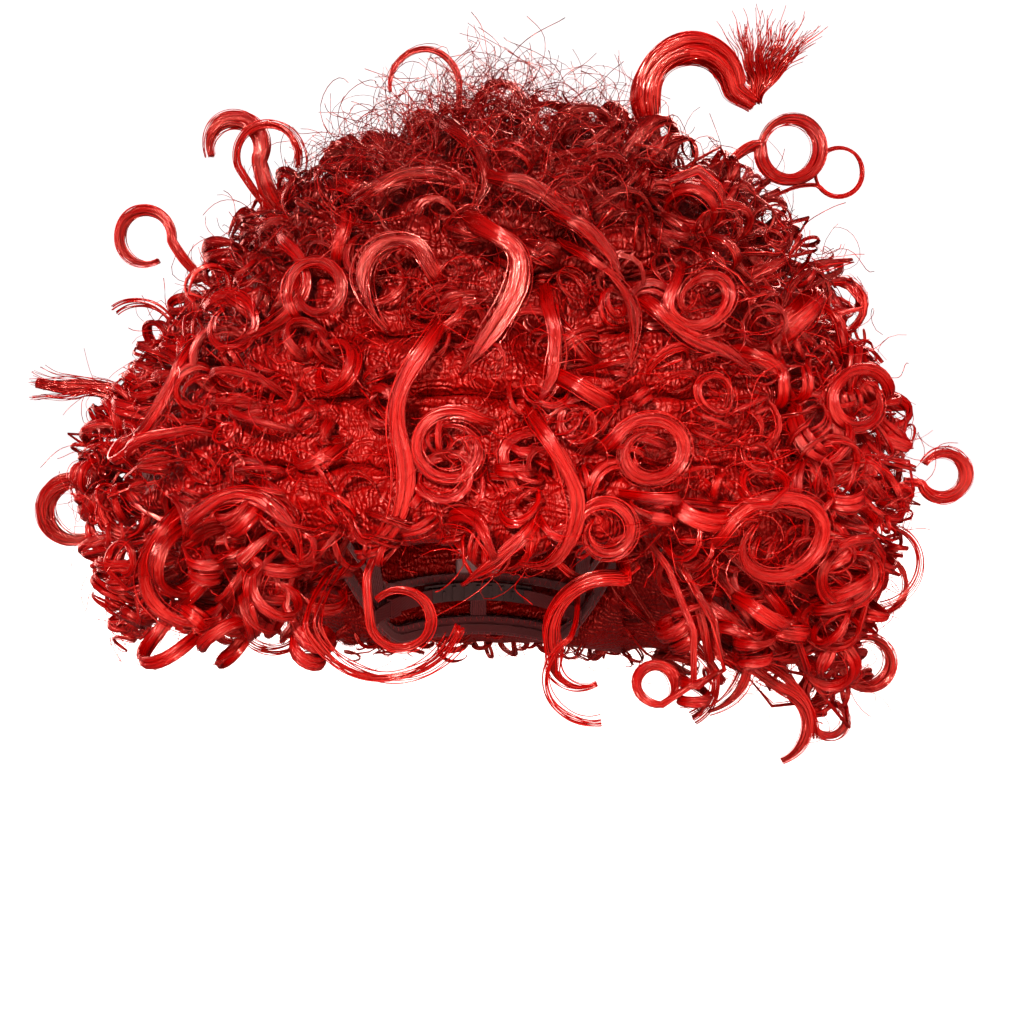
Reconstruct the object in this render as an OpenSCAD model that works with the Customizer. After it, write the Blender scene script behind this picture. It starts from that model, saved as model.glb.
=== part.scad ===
// Costume wig: a sewn cap that carries rings of curled synthetic hair.
// Millimetres. The origin is the middle of the head opening at brow level,
// +Z points up through the crown and -Y towards the face. The wearer's left is +X.
// Round the cap, azimuth 0 is the front, 90 the wearer's left and 180 the nape.

/* [Cap] */
// Half of the cap's width at brow level
cap_half_w = 75; // [68:1:82]
// Half of the cap's depth at brow level
cap_half_d = 93; // [84:1:102]
// Height of the crown above brow level
crown_h = 110; // [98:1:122]
// Height of the front edge above brow level
front_edge_z = 32; // [26:1:38]
// Height of the edge over the ears
ear_edge_z = 5; // [0:1:10]
// Height of the edge at the nape, below brow level
nape_edge_z = -78; // [-84:1:-68]
// Thickness of the net, of the bands and of the ear tabs
cloth_t = 0.5; // [0.4:0.1:0.8]
// Space left for stitching between two sewn layers
sewing_gap = 0.5; // [0.4:0.1:0.8]
// Width of the bands along the edge
band_w = 15; // [12:1:18]
// Width of the elastic ribbons
ribbon_w = 8; // [6:1:11]
// Length of an ear tab
tab_len = 20; // [14:1:26]
// Half of an ear tab's width, as an azimuth
tab_half_angle = 11; // [8:1:13]

/* [Hair] */
// Number of hair rings between the edge and the crown
rows = 9; // [9:1:9]
// Number of tufts in the lowest ring
low_tufts = 17; // [14:1:20]
// Width of a sewn hair track
track_w = 5; // [4:0.5:7]
// Thickness of a sewn hair track
track_t = 1; // [0.8:0.1:1.4]
// Half width of the hair
hair_half_w = 166; // [150:1:182]
// How far the hair's middle lies towards the wearer's left
hair_mid_x = 6; // [0:1:12]
// How far the hair reaches forward of its middle
hair_front = 132; // [120:1:150]
// How far the hair reaches back from its middle
hair_back = 146; // [130:1:165]
// Height of the hair's widest level above brow level
hair_mid_z = 35; // [25:1:45]
// Height of the hair's top above brow level
hair_top_z = 164; // [150:1:185]
// Height of the fringe's lower edge
fringe_z = 14; // [8:1:20]
// How far the hair hangs beside the face, as a share of its length at the ears
cheek_share = 0.42; // [0.3:0.02:0.7]
// Height of the hair's lower edge on the wearer's left
left_hair_z = -88; // [-100:1:-70]
// Height of the hair's lower edge on the wearer's right
right_hair_z = -48; // [-60:1:-35]
// Height of the hair's lower edge at the back
back_hair_z = -100; // [-115:1:-80]
// How much lower the shoulder of the hair is on the wearer's right
lean = 0.1; // [0:0.01:0.15]
// Share of its width that the hair loses on its way up to the top
taper = 0.40; // [0.3:0.01:0.5]
// Share of its place that a tuft fills
tuft_fill = 0.90; // [0.7:0.01:0.95]

/* [Free curls] */
// Radius of the ring at the end of the right face ringlet
ring_r = 9.7; // [7:0.1:12]
// Thickness of the right face ringlet
thin_lock = 3.2; // [2:0.1:4]
// Thickness of the left face ringlet
face_lock = 5.6; // [4:0.1:7]
// Radius of the big curl on top
top_curl_r = 16.5; // [14:0.5:20]
// Thickness of the big curl on top
top_lock = 12; // [8:0.5:14]
// Length of the brush end of the big curl
brush_len = 32; // [24:1:38]

/* [Adjusters] */
// Width of a strap and of the loop tape
strap_w = 9; // [7:0.5:11]
// Thickness of a strap
strap_t = 0.7; // [0.5:0.1:1]
// Travel of a hook along the loops, as an angle
hook_travel = 15; // [10:1:16]
// Number of loops on each side of the middle
side_loops = 4; // [3:1:4]

/* [Label] */
// Width of the blank care label
label_w = 22; // [16:1:28]
// Length of the blank care label
label_len = 26; // [18:1:28]

/* [Hidden] */
$fn = 48;
// Depth below brow level at which the cap would close to its narrowest
neck_z = 90;
// How much narrower the cap is down there
neck_in = 0.25;
// Azimuths at which the edge meets the ear and the nape
ear_from = 80;
ear_to = 95;
nape_from = 145;
// Azimuths at which the edge bands meet
front_end = 66;
ear_end = 118;
band_gap = 0.6;
// Share of the way from edge to crown at which the net begins and ends
net_low = 0.5;
net_high = 0.93;
// Millimetres of cloth for each degree of rise
mm_per_deg = PI * (cap_half_w + cap_half_d + crown_h) / 3 / 180;
// The sewn layers, as distances outside the cap's inner face
ribbon_off = cloth_t + sewing_gap;
track_off = ribbon_off + cloth_t + sewing_gap;
hair_off = track_off + track_t + 1.5;
// The middle of the hair
hair_mid_y = 5;
// How deep the hair's lower half would be if it closed
hair_depth = 200;
// Steps round the cap
steps = 48;

// The nape pieces lie on a circle that fits the cap's back.
loop_z = nape_edge_z + 16;
loop_top_z = loop_z + strap_w;
nape_w = cap_half_w * narrowing(to_rise(loop_z));
nape_d = cap_half_d * narrowing(to_rise(loop_z));
nape_r = nape_w * nape_w / nape_d;
nape_y = nape_d - nape_r;
tape_r = nape_r - 1;
tape_t = 0.6;
loop_h = 1.8;
loop_wall = 0.6;
strap_r = tape_r - tape_t - loop_h - 0.5;
hook_from = 20;
hook_to = 27;
keeper_from = 50;
keeper_to = 58;
// The strap still fills its sleeve when the hook has travelled to the middle.
strap_to = keeper_to + hook_travel + 1;
keeper_wall = 0.8;
keeper_gap = 0.4;

label_top_z = loop_top_z + label_len + 3;

// Turning points of the free curls' roots
right_ringlet_root = [-29, -101, 21];
left_ringlet_root = [45, -98, 20];
top_curl_mid = [78, -6, 164];
side_curl_mid = [187, -4, 20];

// ---------------------------------------------------------------- the cap's surface

function mix(a, b, t) = a + (b - a) * t;
function ease(t) = (1 - cos(180 * min(max(t, 0), 1))) / 2;

// Height of the cap's edge at an azimuth.
function edge_z(phi) = let (a = abs(phi) > 180 ? 360 - abs(phi) : abs(phi))
    a <= ear_from ? mix(front_edge_z, ear_edge_z, ease(a / ear_from))
    : mix(ear_edge_z, nape_edge_z, ease((a - ear_to) / (nape_from - ear_to)));

// The rise is an angle: 90 at the crown, 0 at brow level and less below it.
function to_rise(z) = z >= 0 ? asin(z / crown_h) : asin(z / neck_z);
function to_z(rise) = rise >= 0 ? crown_h * sin(rise) : neck_z * sin(rise);
function narrowing(rise) = rise >= 0 ? cos(rise) : 1 - neck_in * pow(sin(rise), 2);
function edge_rise(phi) = to_rise(edge_z(phi));
// The rise at a share of the way from the edge to the crown
function share_rise(phi, share) = mix(edge_rise(phi), 90, share);

function unit(v) = v / norm(v);

// A point at a distance outside the cap's inner face.
function cap_point(phi, rise, off) = let (
    k = narrowing(rise),
    p = [cap_half_w * k * sin(phi), -cap_half_d * k * cos(phi), to_z(rise)],
    lean_out = p.z >= 0 ? p.z / pow(crown_h, 2) : 2 * neck_in * k * p.z / pow(neck_z, 2),
    out = unit([p.x / pow(cap_half_w, 2), p.y / pow(cap_half_d, 2), lean_out])
) p + off * out;

// ---------------------------------------------------------------- surfaces from sections

// Joins equal closed sections into a solid. Each section has an even number of points,
// and its first half faces its second half. The two halves are cut into triangles the same
// way, so a thin wall keeps its thickness.
module loft(sections, ring = false) {
    n = len(sections);
    m = len(sections[0]);
    last = (n - 1) * m;
    walls = [for (i = [0:(ring ? n : n - 1) - 1], j = [0:m - 1])
        let (a = i * m, b = ((i + 1) % n) * m, k = (j + 1) % m)
        each j < m / 2 ? [[a + j, b + k, a + k], [a + j, b + j, b + k]]
        : [[a + j, b + j, a + k], [b + j, b + k, a + k]]];
    ends = ring ? [] : [for (j = [0:m / 2 - 2]) let (k = m - 1 - j)
        each [[j, j + 1, k - 1], [j, k - 1, k],
              [last + j, last + k - 1, last + j + 1], [last + j, last + k, last + k - 1]]];
    polyhedron([for (loop = sections) each loop], concat(walls, ends), convexity = 8);
}

// A piece of cloth on the cap between two edges, which are rises worked out from the azimuth.
module cap_cloth(from, to, low, high, off, thick, bands) {
    whole = to - from >= 360;
    n = ceil((to - from) * steps / 360);
    loft([for (i = [0:whole ? n - 1 : n])
        let (phi = from + (to - from) * i / n, a = low(phi), b = high(phi))
        [for (j = [0:bands]) cap_point(phi, mix(a, b, j / bands), off + thick),
         for (j = [0:bands]) cap_point(phi, mix(b, a, j / bands), off)]
    ], whole);
}

// A band along the cap's edge.
module edge_band(from, to) {
    cap_cloth(from, to, function(phi) edge_rise(phi),
        function(phi) edge_rise(phi) + band_w / mm_per_deg, 0, cloth_t, 2);
}

// An elastic ribbon up the cap at one azimuth.
module ribbon(phi) {
    up = 12;
    color("#4a0508")
    loft([for (i = [0:up]) let (
            rise = share_rise(phi, mix(0.01, net_low + 0.06, i / up)),
            half = asin(ribbon_w / 2 / (cap_half_w * narrowing(rise)))
        ) [cap_point(phi - half, rise, ribbon_off + cloth_t),
           cap_point(phi + half, rise, ribbon_off + cloth_t),
           cap_point(phi + half, rise, ribbon_off),
           cap_point(phi - half, rise, ribbon_off)]]);
}

// ---------------------------------------------------------------- cap pieces

module crown_net() {
    color("#5a0a0e")
    cap_cloth(0, 360, function(phi) share_rise(phi, net_low),
        function(phi) share_rise(phi, net_high), 0, cloth_t, 5);
}

// The round patch that closes the crown.
module crown_closure() {
    edge = net_high + 0.008;
    shares = [0.9995, 0.98, edge];
    function circle_at(share, off) = [for (i = [0:steps / 2 - 1])
        let (phi = -720 * i / steps) cap_point(phi, share_rise(phi, share), off)];
    color("#6a0a0e")
    loft([for (s = shares) circle_at(s, cloth_t), for (i = [2:-1:0]) circle_at(shares[i], 0)]);
}

module front_band() color("#6a0a10") edge_band(-front_end, front_end);
module nape_band() color("#4a0508") edge_band(ear_end + band_gap, 360 - ear_end - band_gap);
module left_ear_band() color("#6a0a10") edge_band(front_end + band_gap, ear_end);
module right_ear_band() color("#6a0a10") edge_band(-ear_end, -front_end - band_gap);

// The gathered elastic inside the nape edge.
module nape_elastic() {
    color("#20080a")
    cap_cloth(128, 232, function(phi) edge_rise(phi) + 2 / mm_per_deg,
        function(phi) edge_rise(phi) + 9 / mm_per_deg, -1.3, 0.8, 1);
}

// A rounded flap below the edge in front of the ear.
module ear_tab(middle) {
    inset = 0.8;
    function depth(phi) =
        inset + 1 + (tab_len - 1) * sqrt(1 - pow((phi - middle) / (tab_half_angle * 1.02), 2));
    color("#6a0a10")
    cap_cloth(middle - tab_half_angle, middle + tab_half_angle,
        function(phi) edge_rise(phi) - depth(phi) / mm_per_deg,
        function(phi) edge_rise(phi) - inset / mm_per_deg, 0, cloth_t, 3);
}

module left_ear_tab() ear_tab(ear_from);
module right_ear_tab() ear_tab(-ear_from);

module front_left_ribbon() ribbon(38);
module front_right_ribbon() ribbon(-38);
module left_ribbon() ribbon(92);
module right_ribbon() ribbon(-92);
module back_left_ribbon() ribbon(137);
module back_right_ribbon() ribbon(-137);
module back_ribbon() ribbon(180);

// ---------------------------------------------------------------- hair

// The machine-sewn track that a hair ring hangs from.
module weft_track(row) {
    share = (row - 0.5) / rows;
    half = track_w / 2 / mm_per_deg;
    color("#3a0406")
    cap_cloth(0, 360, function(phi) share_rise(phi, share) - half,
        function(phi) share_rise(phi, share) + half, track_off, track_t, 1);
}

// Height of the hair's lower edge at an azimuth.
function hair_low_z(phi) = let (
    side = mix(right_hair_z, left_hair_z, ease((sin(phi) + 1) / 2)),
    cheek = side * mix(1, cheek_share, ease(cos(phi) / 0.75))
) cos(phi) >= 0 ? mix(cheek, fringe_z, ease((cos(phi) - 0.6) / 0.22)) : mix(side, back_hair_z, -cos(phi));

// A point on the outside of the hair.
function hair_point(phi, share) = let (
    low = asin((hair_low_z(phi) - hair_mid_z) / hair_depth),
    rise = mix(low, 90, share),
    reach = cos(phi) >= 0 ? hair_front : hair_back,
    high = rise >= 0 ? hair_top_z - hair_mid_z : hair_depth,
    k = 1 - lean * max(0, -sin(phi)) * max(0, sin(2 * rise)),
    up = sin(rise),
    out = rise >= 0 ? (1 - taper * up) * sqrt(1 - pow(up, 6)) : cos(rise)
) [hair_mid_x + hair_half_w * k * out * sin(phi),
   hair_mid_y - reach * k * out * cos(phi),
   hair_mid_z + high * k * up];

function tufts_in(row) = max(5, round(low_tufts * cos(80 * (row - 0.5) / rows)));

// One tuft: eight-sided sections from its root on the track to its rounded end.
module tuft(row, index, length) {
    count = tufts_in(row);
    middle = 360 * (index + (row % 2) / 2) / count;
    share = (row - 0.5) / rows;
    along = [0, 0.35, 0.87, 1];
    sizes = [0.35, 0.85, 1, 0.62];
    color(index % 2 == 0 ? "#c40810" : "#a8060d")
    loft([for (i = [0:3])
        [for (a = [22.5:45:337.5]) let (
            k = tuft_fill * sizes[i] / cos(22.5),
            phi = middle - 180 / count * k * cos(a),
            at = share + 0.5 / rows * k * sin(a)
        ) mix(cap_point(phi, share_rise(phi, at), hair_off), hair_point(phi, at),
              along[i] * length)]]);
}

// Azimuth of a tuft's middle, from -180 to 180.
function tuft_azimuth(row, index) =
    let (a = 360 * (index + (row % 2) / 2) / tufts_in(row)) a > 180 ? a - 360 : a;

// The tufts of a hair ring whose azimuth, to either side of the front, is in a range.
module hair_ring(row, from = 0, to = 181) {
    count = tufts_in(row);
    lengths = rands(0.93, 1.03, count, row * 7);
    for (i = [0:count - 1]) {
        a = abs(tuft_azimuth(row, i));
        if (a >= from && a < to) tuft(row, i, lengths[i]);
    }
}

fringe_to = 50;
module fringe() hair_ring(1, 0, fringe_to);

// ---------------------------------------------------------------- free curls

// A stretch of a ring in the plane that faces the front: angles run from +X towards +Z.
module arc(middle, radius, thick, from, to) {
    translate(middle) rotate([90, 0, 0]) rotate([0, 0, from]) rotate_extrude(angle = to - from)
        translate([radius, 0]) circle(d = thick, $fn = 24);
}

// Points along such a stretch.
function arc_path(middle, radius, from, to, count) =
    [for (i = [0:count]) let (a = mix(from, to, i / count))
        middle + radius * [cos(a), 0, sin(a)]];

// Carries an eight-sided section along a path that keeps mostly to the front's plane.
// The thickness is mixed from the first value to the last.
module lock(path, thick, end_thick) {
    n = len(path) - 1;
    loft([for (i = [0:n]) let (
            along = unit(path[min(i + 1, n)] - path[max(i - 1, 0)]),
            side = unit(cross(along, [0, 1, 0])),
            up = cross(side, along),
            r = mix(thick, end_thick, i / n) / 2
        ) [for (a = [22.5:45:337.5]) path[i] + r * (cos(a) * up + sin(a) * side)]]);
}

module right_face_ringlet() {
    middle = right_ringlet_root + [4.6, -13, -22.5];
    color("#c01018")
    lock(concat([right_ringlet_root, middle + [-ring_r - 0.6, 4, 15]],
                [middle + [-ring_r - 0.4, 1, 7]],
                arc_path(middle, ring_r, 180, 490, 18)), thin_lock, thin_lock * 0.6);
}

module left_face_ringlet() {
    big_bend = 18;
    small_bend = 9.5;
    upper = left_ringlet_root + [-4, -16, -26];
    lower = upper + [-8, 0, -9];
    color("#d01018")
    lock(concat([left_ringlet_root, left_ringlet_root + [0, -9, -3]],
                arc_path(upper, big_bend, 75, 200, 8),
                arc_path(lower, small_bend, 195, 300, 7)), face_lock, face_lock * 0.3);
}

// The loop of the big curl, thick at its root and narrow where its strands are pinched.
module top_curl() {
    color("#b80a12")
    lock(arc_path(top_curl_mid, top_curl_r, 185, 6, 16), top_lock, top_lock * 0.6);
}

// The strands that fan out beyond the pinch.
module top_curl_brush() {
    foot = top_curl_mid + [top_curl_r + 0.75 * top_lock, 0, -1];
    tip = foot + [0.12 * brush_len, 0, brush_len];
    color("#9a0810")
    lock([foot, mix(foot, tip, 0.3), mix(foot, tip, 0.65), tip], top_lock * 0.45, top_lock * 1.7);
}

module side_curl() color("#b80a12") arc(side_curl_mid, 9, 5.5, -190, 130);

module crown_ring_curls() {
    color("#8a060c") {
        arc([117, -4, 145], 11, 4.5, -150, 170);
        arc([137, 0, 137], 9, 1.8, -120, 200);
        arc([-20, 0, 168], 13, 2.5, 0, 180);
        arc([-91, -4, 146], 10, 6, 0, 170);
        arc([-128, 0, 113], 10, 4, 20, 250);
    }
}

module hook_curl() color("#c00c14") arc([-163, -6, 6], 12, 7, 60, 300);

module brush_lock() {
    color("#c00c14") lock([[-163, -8, 56], [-169, -8, 57], [-177, -8, 60]], 5, 11);
}

module low_ring_curls() {
    color("#c00c14") {
        arc([160, -12, -57], 10, 4.5, -180, 130);
        arc([146, -14, -82], 7, 3, -170, 150);
        arc([163, -8, -25], 12, 2, -110, 80);
    }
}

module hanging_lock() {
    color("#c00c14") {
        arc([76, -78, -30], 18, 5, -70, 40);
        arc([108, -62, -62], 14, 4, -60, 50);
    }
}

// ---------------------------------------------------------------- adjusters

// Sweeps an outline of radius and height along the nape's circle: 0 is the middle of the
// back and angles grow towards the wearer's left.
module nape_sweep(from, to) {
    translate([0, nape_y, 0]) rotate([0, 0, 90 - to]) rotate_extrude(angle = to - from) children();
}

module loop_tape() {
    reach = hook_to + 3;
    pitch = reach / (side_loops + 0.5);
    color("#20080a") nape_sweep(-reach, reach)
        translate([tape_r - tape_t, loop_z]) square([tape_t, strap_w]);
    color("#3a3a3a") for (i = [-side_loops:side_loops])
        nape_sweep(i * pitch - 1, i * pitch + 1) difference() {
            translate([tape_r - tape_t - loop_h, loop_z + 1]) square([loop_h + 0.1, strap_w - 2]);
            translate([tape_r - tape_t - loop_h + loop_wall, loop_z + 1 + loop_wall])
                square([loop_h - loop_wall, strap_w - 2 - 2 * loop_wall]);
        }
}

module strap() {
    nape_sweep(hook_to, strap_to)
        translate([strap_r - strap_t, loop_z + 1]) square([strap_t, strap_w - 2]);
}

// A flat plate with a raised lip that catches a loop.
module hook() {
    nape_sweep(hook_from, hook_to - 0.2)
        translate([strap_r - strap_t, loop_z + 1]) square([strap_t, strap_w - 2]);
    nape_sweep(hook_from, hook_from + 1.2)
        translate([strap_r - strap_t - 1.4, loop_z + 2.5]) square([1.5, strap_w - 5]);
}

// The sewn sleeve that a strap slides through.
module keeper() {
    hole_w = strap_w - 2 + 2 * keeper_gap;
    hole_t = strap_t + 2 * keeper_gap;
    nape_sweep(keeper_from, keeper_to) translate([strap_r - strap_t / 2, loop_z + strap_w / 2])
        difference() {
            square([hole_t + 2 * keeper_wall, hole_w + 2 * keeper_wall], center = true);
            square([hole_t, hole_w], center = true);
        }
}

module left_strap() color("#20080a") strap();
module left_hook() color("#d8d8d8") hook();
module left_keeper() color("#4a0508") keeper();
module right_strap() mirror([1, 0, 0]) left_strap();
module right_hook() mirror([1, 0, 0]) left_hook();
module right_keeper() mirror([1, 0, 0]) left_keeper();

// A blank label that lies along the cap's slope.
module care_label() {
    top = cap_point(180, to_rise(label_top_z), -2.6);
    bottom = cap_point(180, to_rise(label_top_z - label_len), -2.6);
    color("white") translate(top)
        rotate([atan2(bottom.y - top.y, top.z - bottom.z), 0, 0])
        translate([-label_w / 2, -0.4, -label_len]) cube([label_w, 0.4, label_len]);
}

// ---------------------------------------------------------------- output

crown_net();
crown_closure();
front_band();
nape_band();
nape_elastic();
left_ear_band();
right_ear_band();
left_ear_tab();
right_ear_tab();
front_left_ribbon();
front_right_ribbon();
left_ribbon();
right_ribbon();
back_left_ribbon();
back_right_ribbon();
back_ribbon();
weft_track(1);  // weft_track_01
weft_track(2);  // weft_track_02
weft_track(3);  // weft_track_03
weft_track(4);  // weft_track_04
weft_track(5);  // weft_track_05
weft_track(6);  // weft_track_06
weft_track(7);  // weft_track_07
weft_track(8);  // weft_track_08
weft_track(9);  // weft_track_09
fringe();
hair_ring(1, fringe_to);  // hair_row_01
hair_ring(2);  // hair_row_02
hair_ring(3);  // hair_row_03
hair_ring(4);  // hair_row_04
hair_ring(5);  // hair_row_05
hair_ring(6);  // hair_row_06
hair_ring(7);  // hair_row_07
hair_ring(8);  // hair_row_08
hair_ring(9);  // hair_row_09
right_face_ringlet();
left_face_ringlet();
top_curl();
top_curl_brush();
side_curl();
crown_ring_curls();
hook_curl();
brush_lock();
low_ring_curls();
hanging_lock();
loop_tape();
left_strap();
right_strap();
left_hook();
right_hook();
left_keeper();
right_keeper();
care_label();
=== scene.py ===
"""A short curly costume wig: glossy red synthetic curls on a sewn stretch cap.

Metres, in the row frame: the origin is the middle of the head opening at brow level, +Z points up
through the crown, -Y towards the face and +X towards the wearer's left. Round the cap, azimuth 0 is
the front, 90 degrees the wearer's left and 180 the nape.
"""
import math

import bpy
import numpy as np
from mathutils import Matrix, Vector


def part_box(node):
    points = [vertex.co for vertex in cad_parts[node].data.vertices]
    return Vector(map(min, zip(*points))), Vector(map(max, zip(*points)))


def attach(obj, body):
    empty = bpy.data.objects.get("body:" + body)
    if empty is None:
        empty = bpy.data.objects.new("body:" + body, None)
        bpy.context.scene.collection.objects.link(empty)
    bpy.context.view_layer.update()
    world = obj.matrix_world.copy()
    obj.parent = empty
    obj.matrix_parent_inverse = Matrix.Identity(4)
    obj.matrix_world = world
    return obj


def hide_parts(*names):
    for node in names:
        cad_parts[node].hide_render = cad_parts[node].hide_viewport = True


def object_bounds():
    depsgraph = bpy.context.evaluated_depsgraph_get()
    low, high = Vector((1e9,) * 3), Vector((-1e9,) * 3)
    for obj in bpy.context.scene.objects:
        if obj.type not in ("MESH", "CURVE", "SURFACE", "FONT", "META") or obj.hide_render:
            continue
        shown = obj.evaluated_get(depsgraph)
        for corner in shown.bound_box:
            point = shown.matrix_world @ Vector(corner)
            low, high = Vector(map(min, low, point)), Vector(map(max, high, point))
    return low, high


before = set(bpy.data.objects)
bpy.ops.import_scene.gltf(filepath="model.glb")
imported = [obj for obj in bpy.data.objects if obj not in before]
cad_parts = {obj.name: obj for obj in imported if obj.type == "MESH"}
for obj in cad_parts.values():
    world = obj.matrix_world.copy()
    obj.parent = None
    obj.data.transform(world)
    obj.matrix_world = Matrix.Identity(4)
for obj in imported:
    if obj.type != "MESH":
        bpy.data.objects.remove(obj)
cad_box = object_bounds()

TURN = 2 * math.pi
MM = 0.001


# ---------------------------------------------------------------- sizes

# The cap's inner face
CAP_HALF = (75 * MM, 93 * MM)
CROWN_H = 110 * MM
NECK_Z, NECK_IN = 90 * MM, 0.25
FRONT_EDGE, EAR_EDGE, NAPE_EDGE = 32 * MM, 5 * MM, -78 * MM
EAR_FROM, EAR_TO, NAPE_FROM = math.radians(80), math.radians(95), math.radians(145)
FRONT_END, EAR_END = math.radians(66), math.radians(118)
BAND_W, RIBBON_W, TRACK_W = 15 * MM, 8 * MM, 5 * MM
CLOTH, SEWING_GAP, TRACK_T = 0.5 * MM, 0.5 * MM, 1.0 * MM
RIBBON_OFF = CLOTH + SEWING_GAP
TRACK_OFF = RIBBON_OFF + CLOTH + SEWING_GAP
HAIR_OFF = TRACK_OFF + TRACK_T + 1.5 * MM
TAB_LEN, TAB_HALF = 20 * MM, math.radians(11)
NET_LOW, NET_HIGH = 0.5, 0.93
RIBBON_AZIMUTHS = {
    "front_left_ribbon": 38, "front_right_ribbon": -38, "left_ribbon": 92, "right_ribbon": -92,
    "back_left_ribbon": 137, "back_right_ribbon": -137, "back_ribbon": 180,
}

# The outside of the hair
ROWS = 9
HAIR_MID = np.array([6, 5, 35]) * MM
HAIR_HALF_W, HAIR_FRONT, HAIR_BACK = 166 * MM, 132 * MM, 146 * MM
HAIR_TOP, HAIR_DEPTH = 129 * MM, 200 * MM
FRINGE_Z, LEFT_Z, RIGHT_Z, BACK_Z = 14 * MM, -88 * MM, -48 * MM, -100 * MM
LEAN, TAPER, CHEEK_SHARE = 0.1, 0.40, 0.42

# Curls: kind, how many in all, half width and radius in mm, turns, plies, sides of a ply, loose strands
CURL_KINDS = [
    ("broad_curls", 130, (2.3, 3.6), (8, 14), (0.8, 1.4), 4, 5, 3),
    ("curls", 360, (1.5, 2.5), (6, 10), (1.0, 1.8), 3, 5, 1),
    ("ringlets", 540, (0.7, 1.3), (3.5, 7.5), (1.1, 2.0), 1, 5, 1),
]
FRIZZ, CLOUD = 2800, 800

UP = np.array([0.0, 0.0, 1.0])


# ---------------------------------------------------------------- the cap and the hair as formulas

def mix(a, b, t):
    return a + (b - a) * t


def ease(t):
    """Half a cosine wave from 0 to 1."""
    return (1 - np.cos(np.pi * np.clip(t, 0, 1))) / 2


def unit(v):
    """Vectors along the last axis, made one long."""
    return v / np.maximum(np.linalg.norm(v, axis=-1, keepdims=True), 1e-12)


def edge_rise(phi):
    """The rise of the cap's edge: its height eases from the front to the ears and then to the nape."""
    a = np.abs((phi + np.pi) % TURN - np.pi)
    z = np.where(
        a <= EAR_FROM,
        mix(FRONT_EDGE, EAR_EDGE, ease(a / EAR_FROM)),
        mix(EAR_EDGE, NAPE_EDGE, ease((a - EAR_TO) / (NAPE_FROM - EAR_TO))),
    )
    return np.where(z >= 0, np.arcsin(np.maximum(z, 0) / CROWN_H), np.arcsin(np.minimum(z, 0) / NECK_Z))


def share_rise(phi, share):
    """The rise at a share of the way from the edge to the crown."""
    return mix(edge_rise(phi), np.pi / 2, share)


def cap_point(phi, rise, off):
    """A point of the cap: an ellipsoid above the brow, and below it an ellipse that narrows by a
    quarter of the squared sine of the rise. off is measured along the surface's normal."""
    phi, rise, off = np.broadcast_arrays(phi, rise, off)
    k = np.where(rise >= 0, np.cos(rise), 1 - NECK_IN * np.sin(rise) ** 2)
    z = np.where(rise >= 0, CROWN_H, NECK_Z) * np.sin(rise)
    p = np.stack([CAP_HALF[0] * k * np.sin(phi), -CAP_HALF[1] * k * np.cos(phi), z], -1)
    slope = np.where(rise >= 0, z / CROWN_H**2, 2 * NECK_IN * k * z / NECK_Z**2)
    out = np.stack([p[..., 0] / CAP_HALF[0] ** 2, p[..., 1] / CAP_HALF[1] ** 2, slope], -1)
    return p + off[..., None] * unit(out)


def hair_low(phi):
    """Height of the hair's lower edge: longer on the wearer's left and at the back, shorter beside
    the face, and a fringe above the brow."""
    side = mix(RIGHT_Z, LEFT_Z, ease((np.sin(phi) + 1) / 2))
    cheek = side * mix(1, CHEEK_SHARE, ease(np.cos(phi) / 0.75))
    front = mix(cheek, FRINGE_Z, ease((np.cos(phi) - 0.6) / 0.22))
    return np.where(np.cos(phi) >= 0, front, mix(side, BACK_Z, -np.cos(phi)))


def hair_point(phi, share):
    """The outside of the hair: it narrows steadily up to a rounded top, and its shoulder is lower on
    the wearer's right."""
    phi, share = np.broadcast_arrays(phi, share)
    low = np.arcsin((hair_low(phi) - HAIR_MID[2]) / HAIR_DEPTH)
    rise = mix(low, np.pi / 2, share)
    lean = 1 - LEAN * np.maximum(-np.sin(phi), 0) * np.maximum(np.sin(2 * rise), 0)
    sine = np.sin(rise)
    closing = (1 - TAPER * sine) * np.sqrt(np.maximum(1 - np.abs(sine) ** 6, 0))
    out = np.where(rise >= 0, closing, np.cos(rise)) * lean
    up = np.where(rise >= 0, HAIR_TOP, HAIR_DEPTH) * sine
    reach = np.where(np.cos(phi) >= 0, HAIR_FRONT, HAIR_BACK)
    return HAIR_MID + np.stack(
        [HAIR_HALF_W * out * np.sin(phi), -reach * out * np.cos(phi), up * lean], -1
    )


def between(phi, share, along):
    """A point part of the way from the cap to the outside of the hair."""
    inner = cap_point(phi, share_rise(phi, share), HAIR_OFF)
    return mix(inner, hair_point(phi, share), np.asarray(along)[..., None])


# ---------------------------------------------------------------- shader helpers

class Socket:
    """Wraps a shader output, so that values can be worked out as expressions."""

    def __init__(self, tree, out):
        self.tree, self.out = tree, out

    def math(self, operation, *values):
        return self.tree.node("ShaderNodeMath", {"operation": operation}, values)

    def __add__(self, other):
        return self.math("ADD", self, other)

    def __sub__(self, other):
        return self.math("SUBTRACT", self, other)

    def __rsub__(self, other):
        return self.math("SUBTRACT", other, self)

    def __mul__(self, other):
        return self.math("MULTIPLY", self, other)

    def __pow__(self, other):
        return self.math("POWER", self, other)

    __radd__ = __add__
    __rmul__ = __mul__

    def sine(self):
        return self.math("SINE", self)

    def above(self, edge):
        return self.math("GREATER_THAN", self, edge)

    def clamp(self):
        return self.math("MINIMUM", self.math("MAXIMUM", self, 0.0), 1.0)


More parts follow.
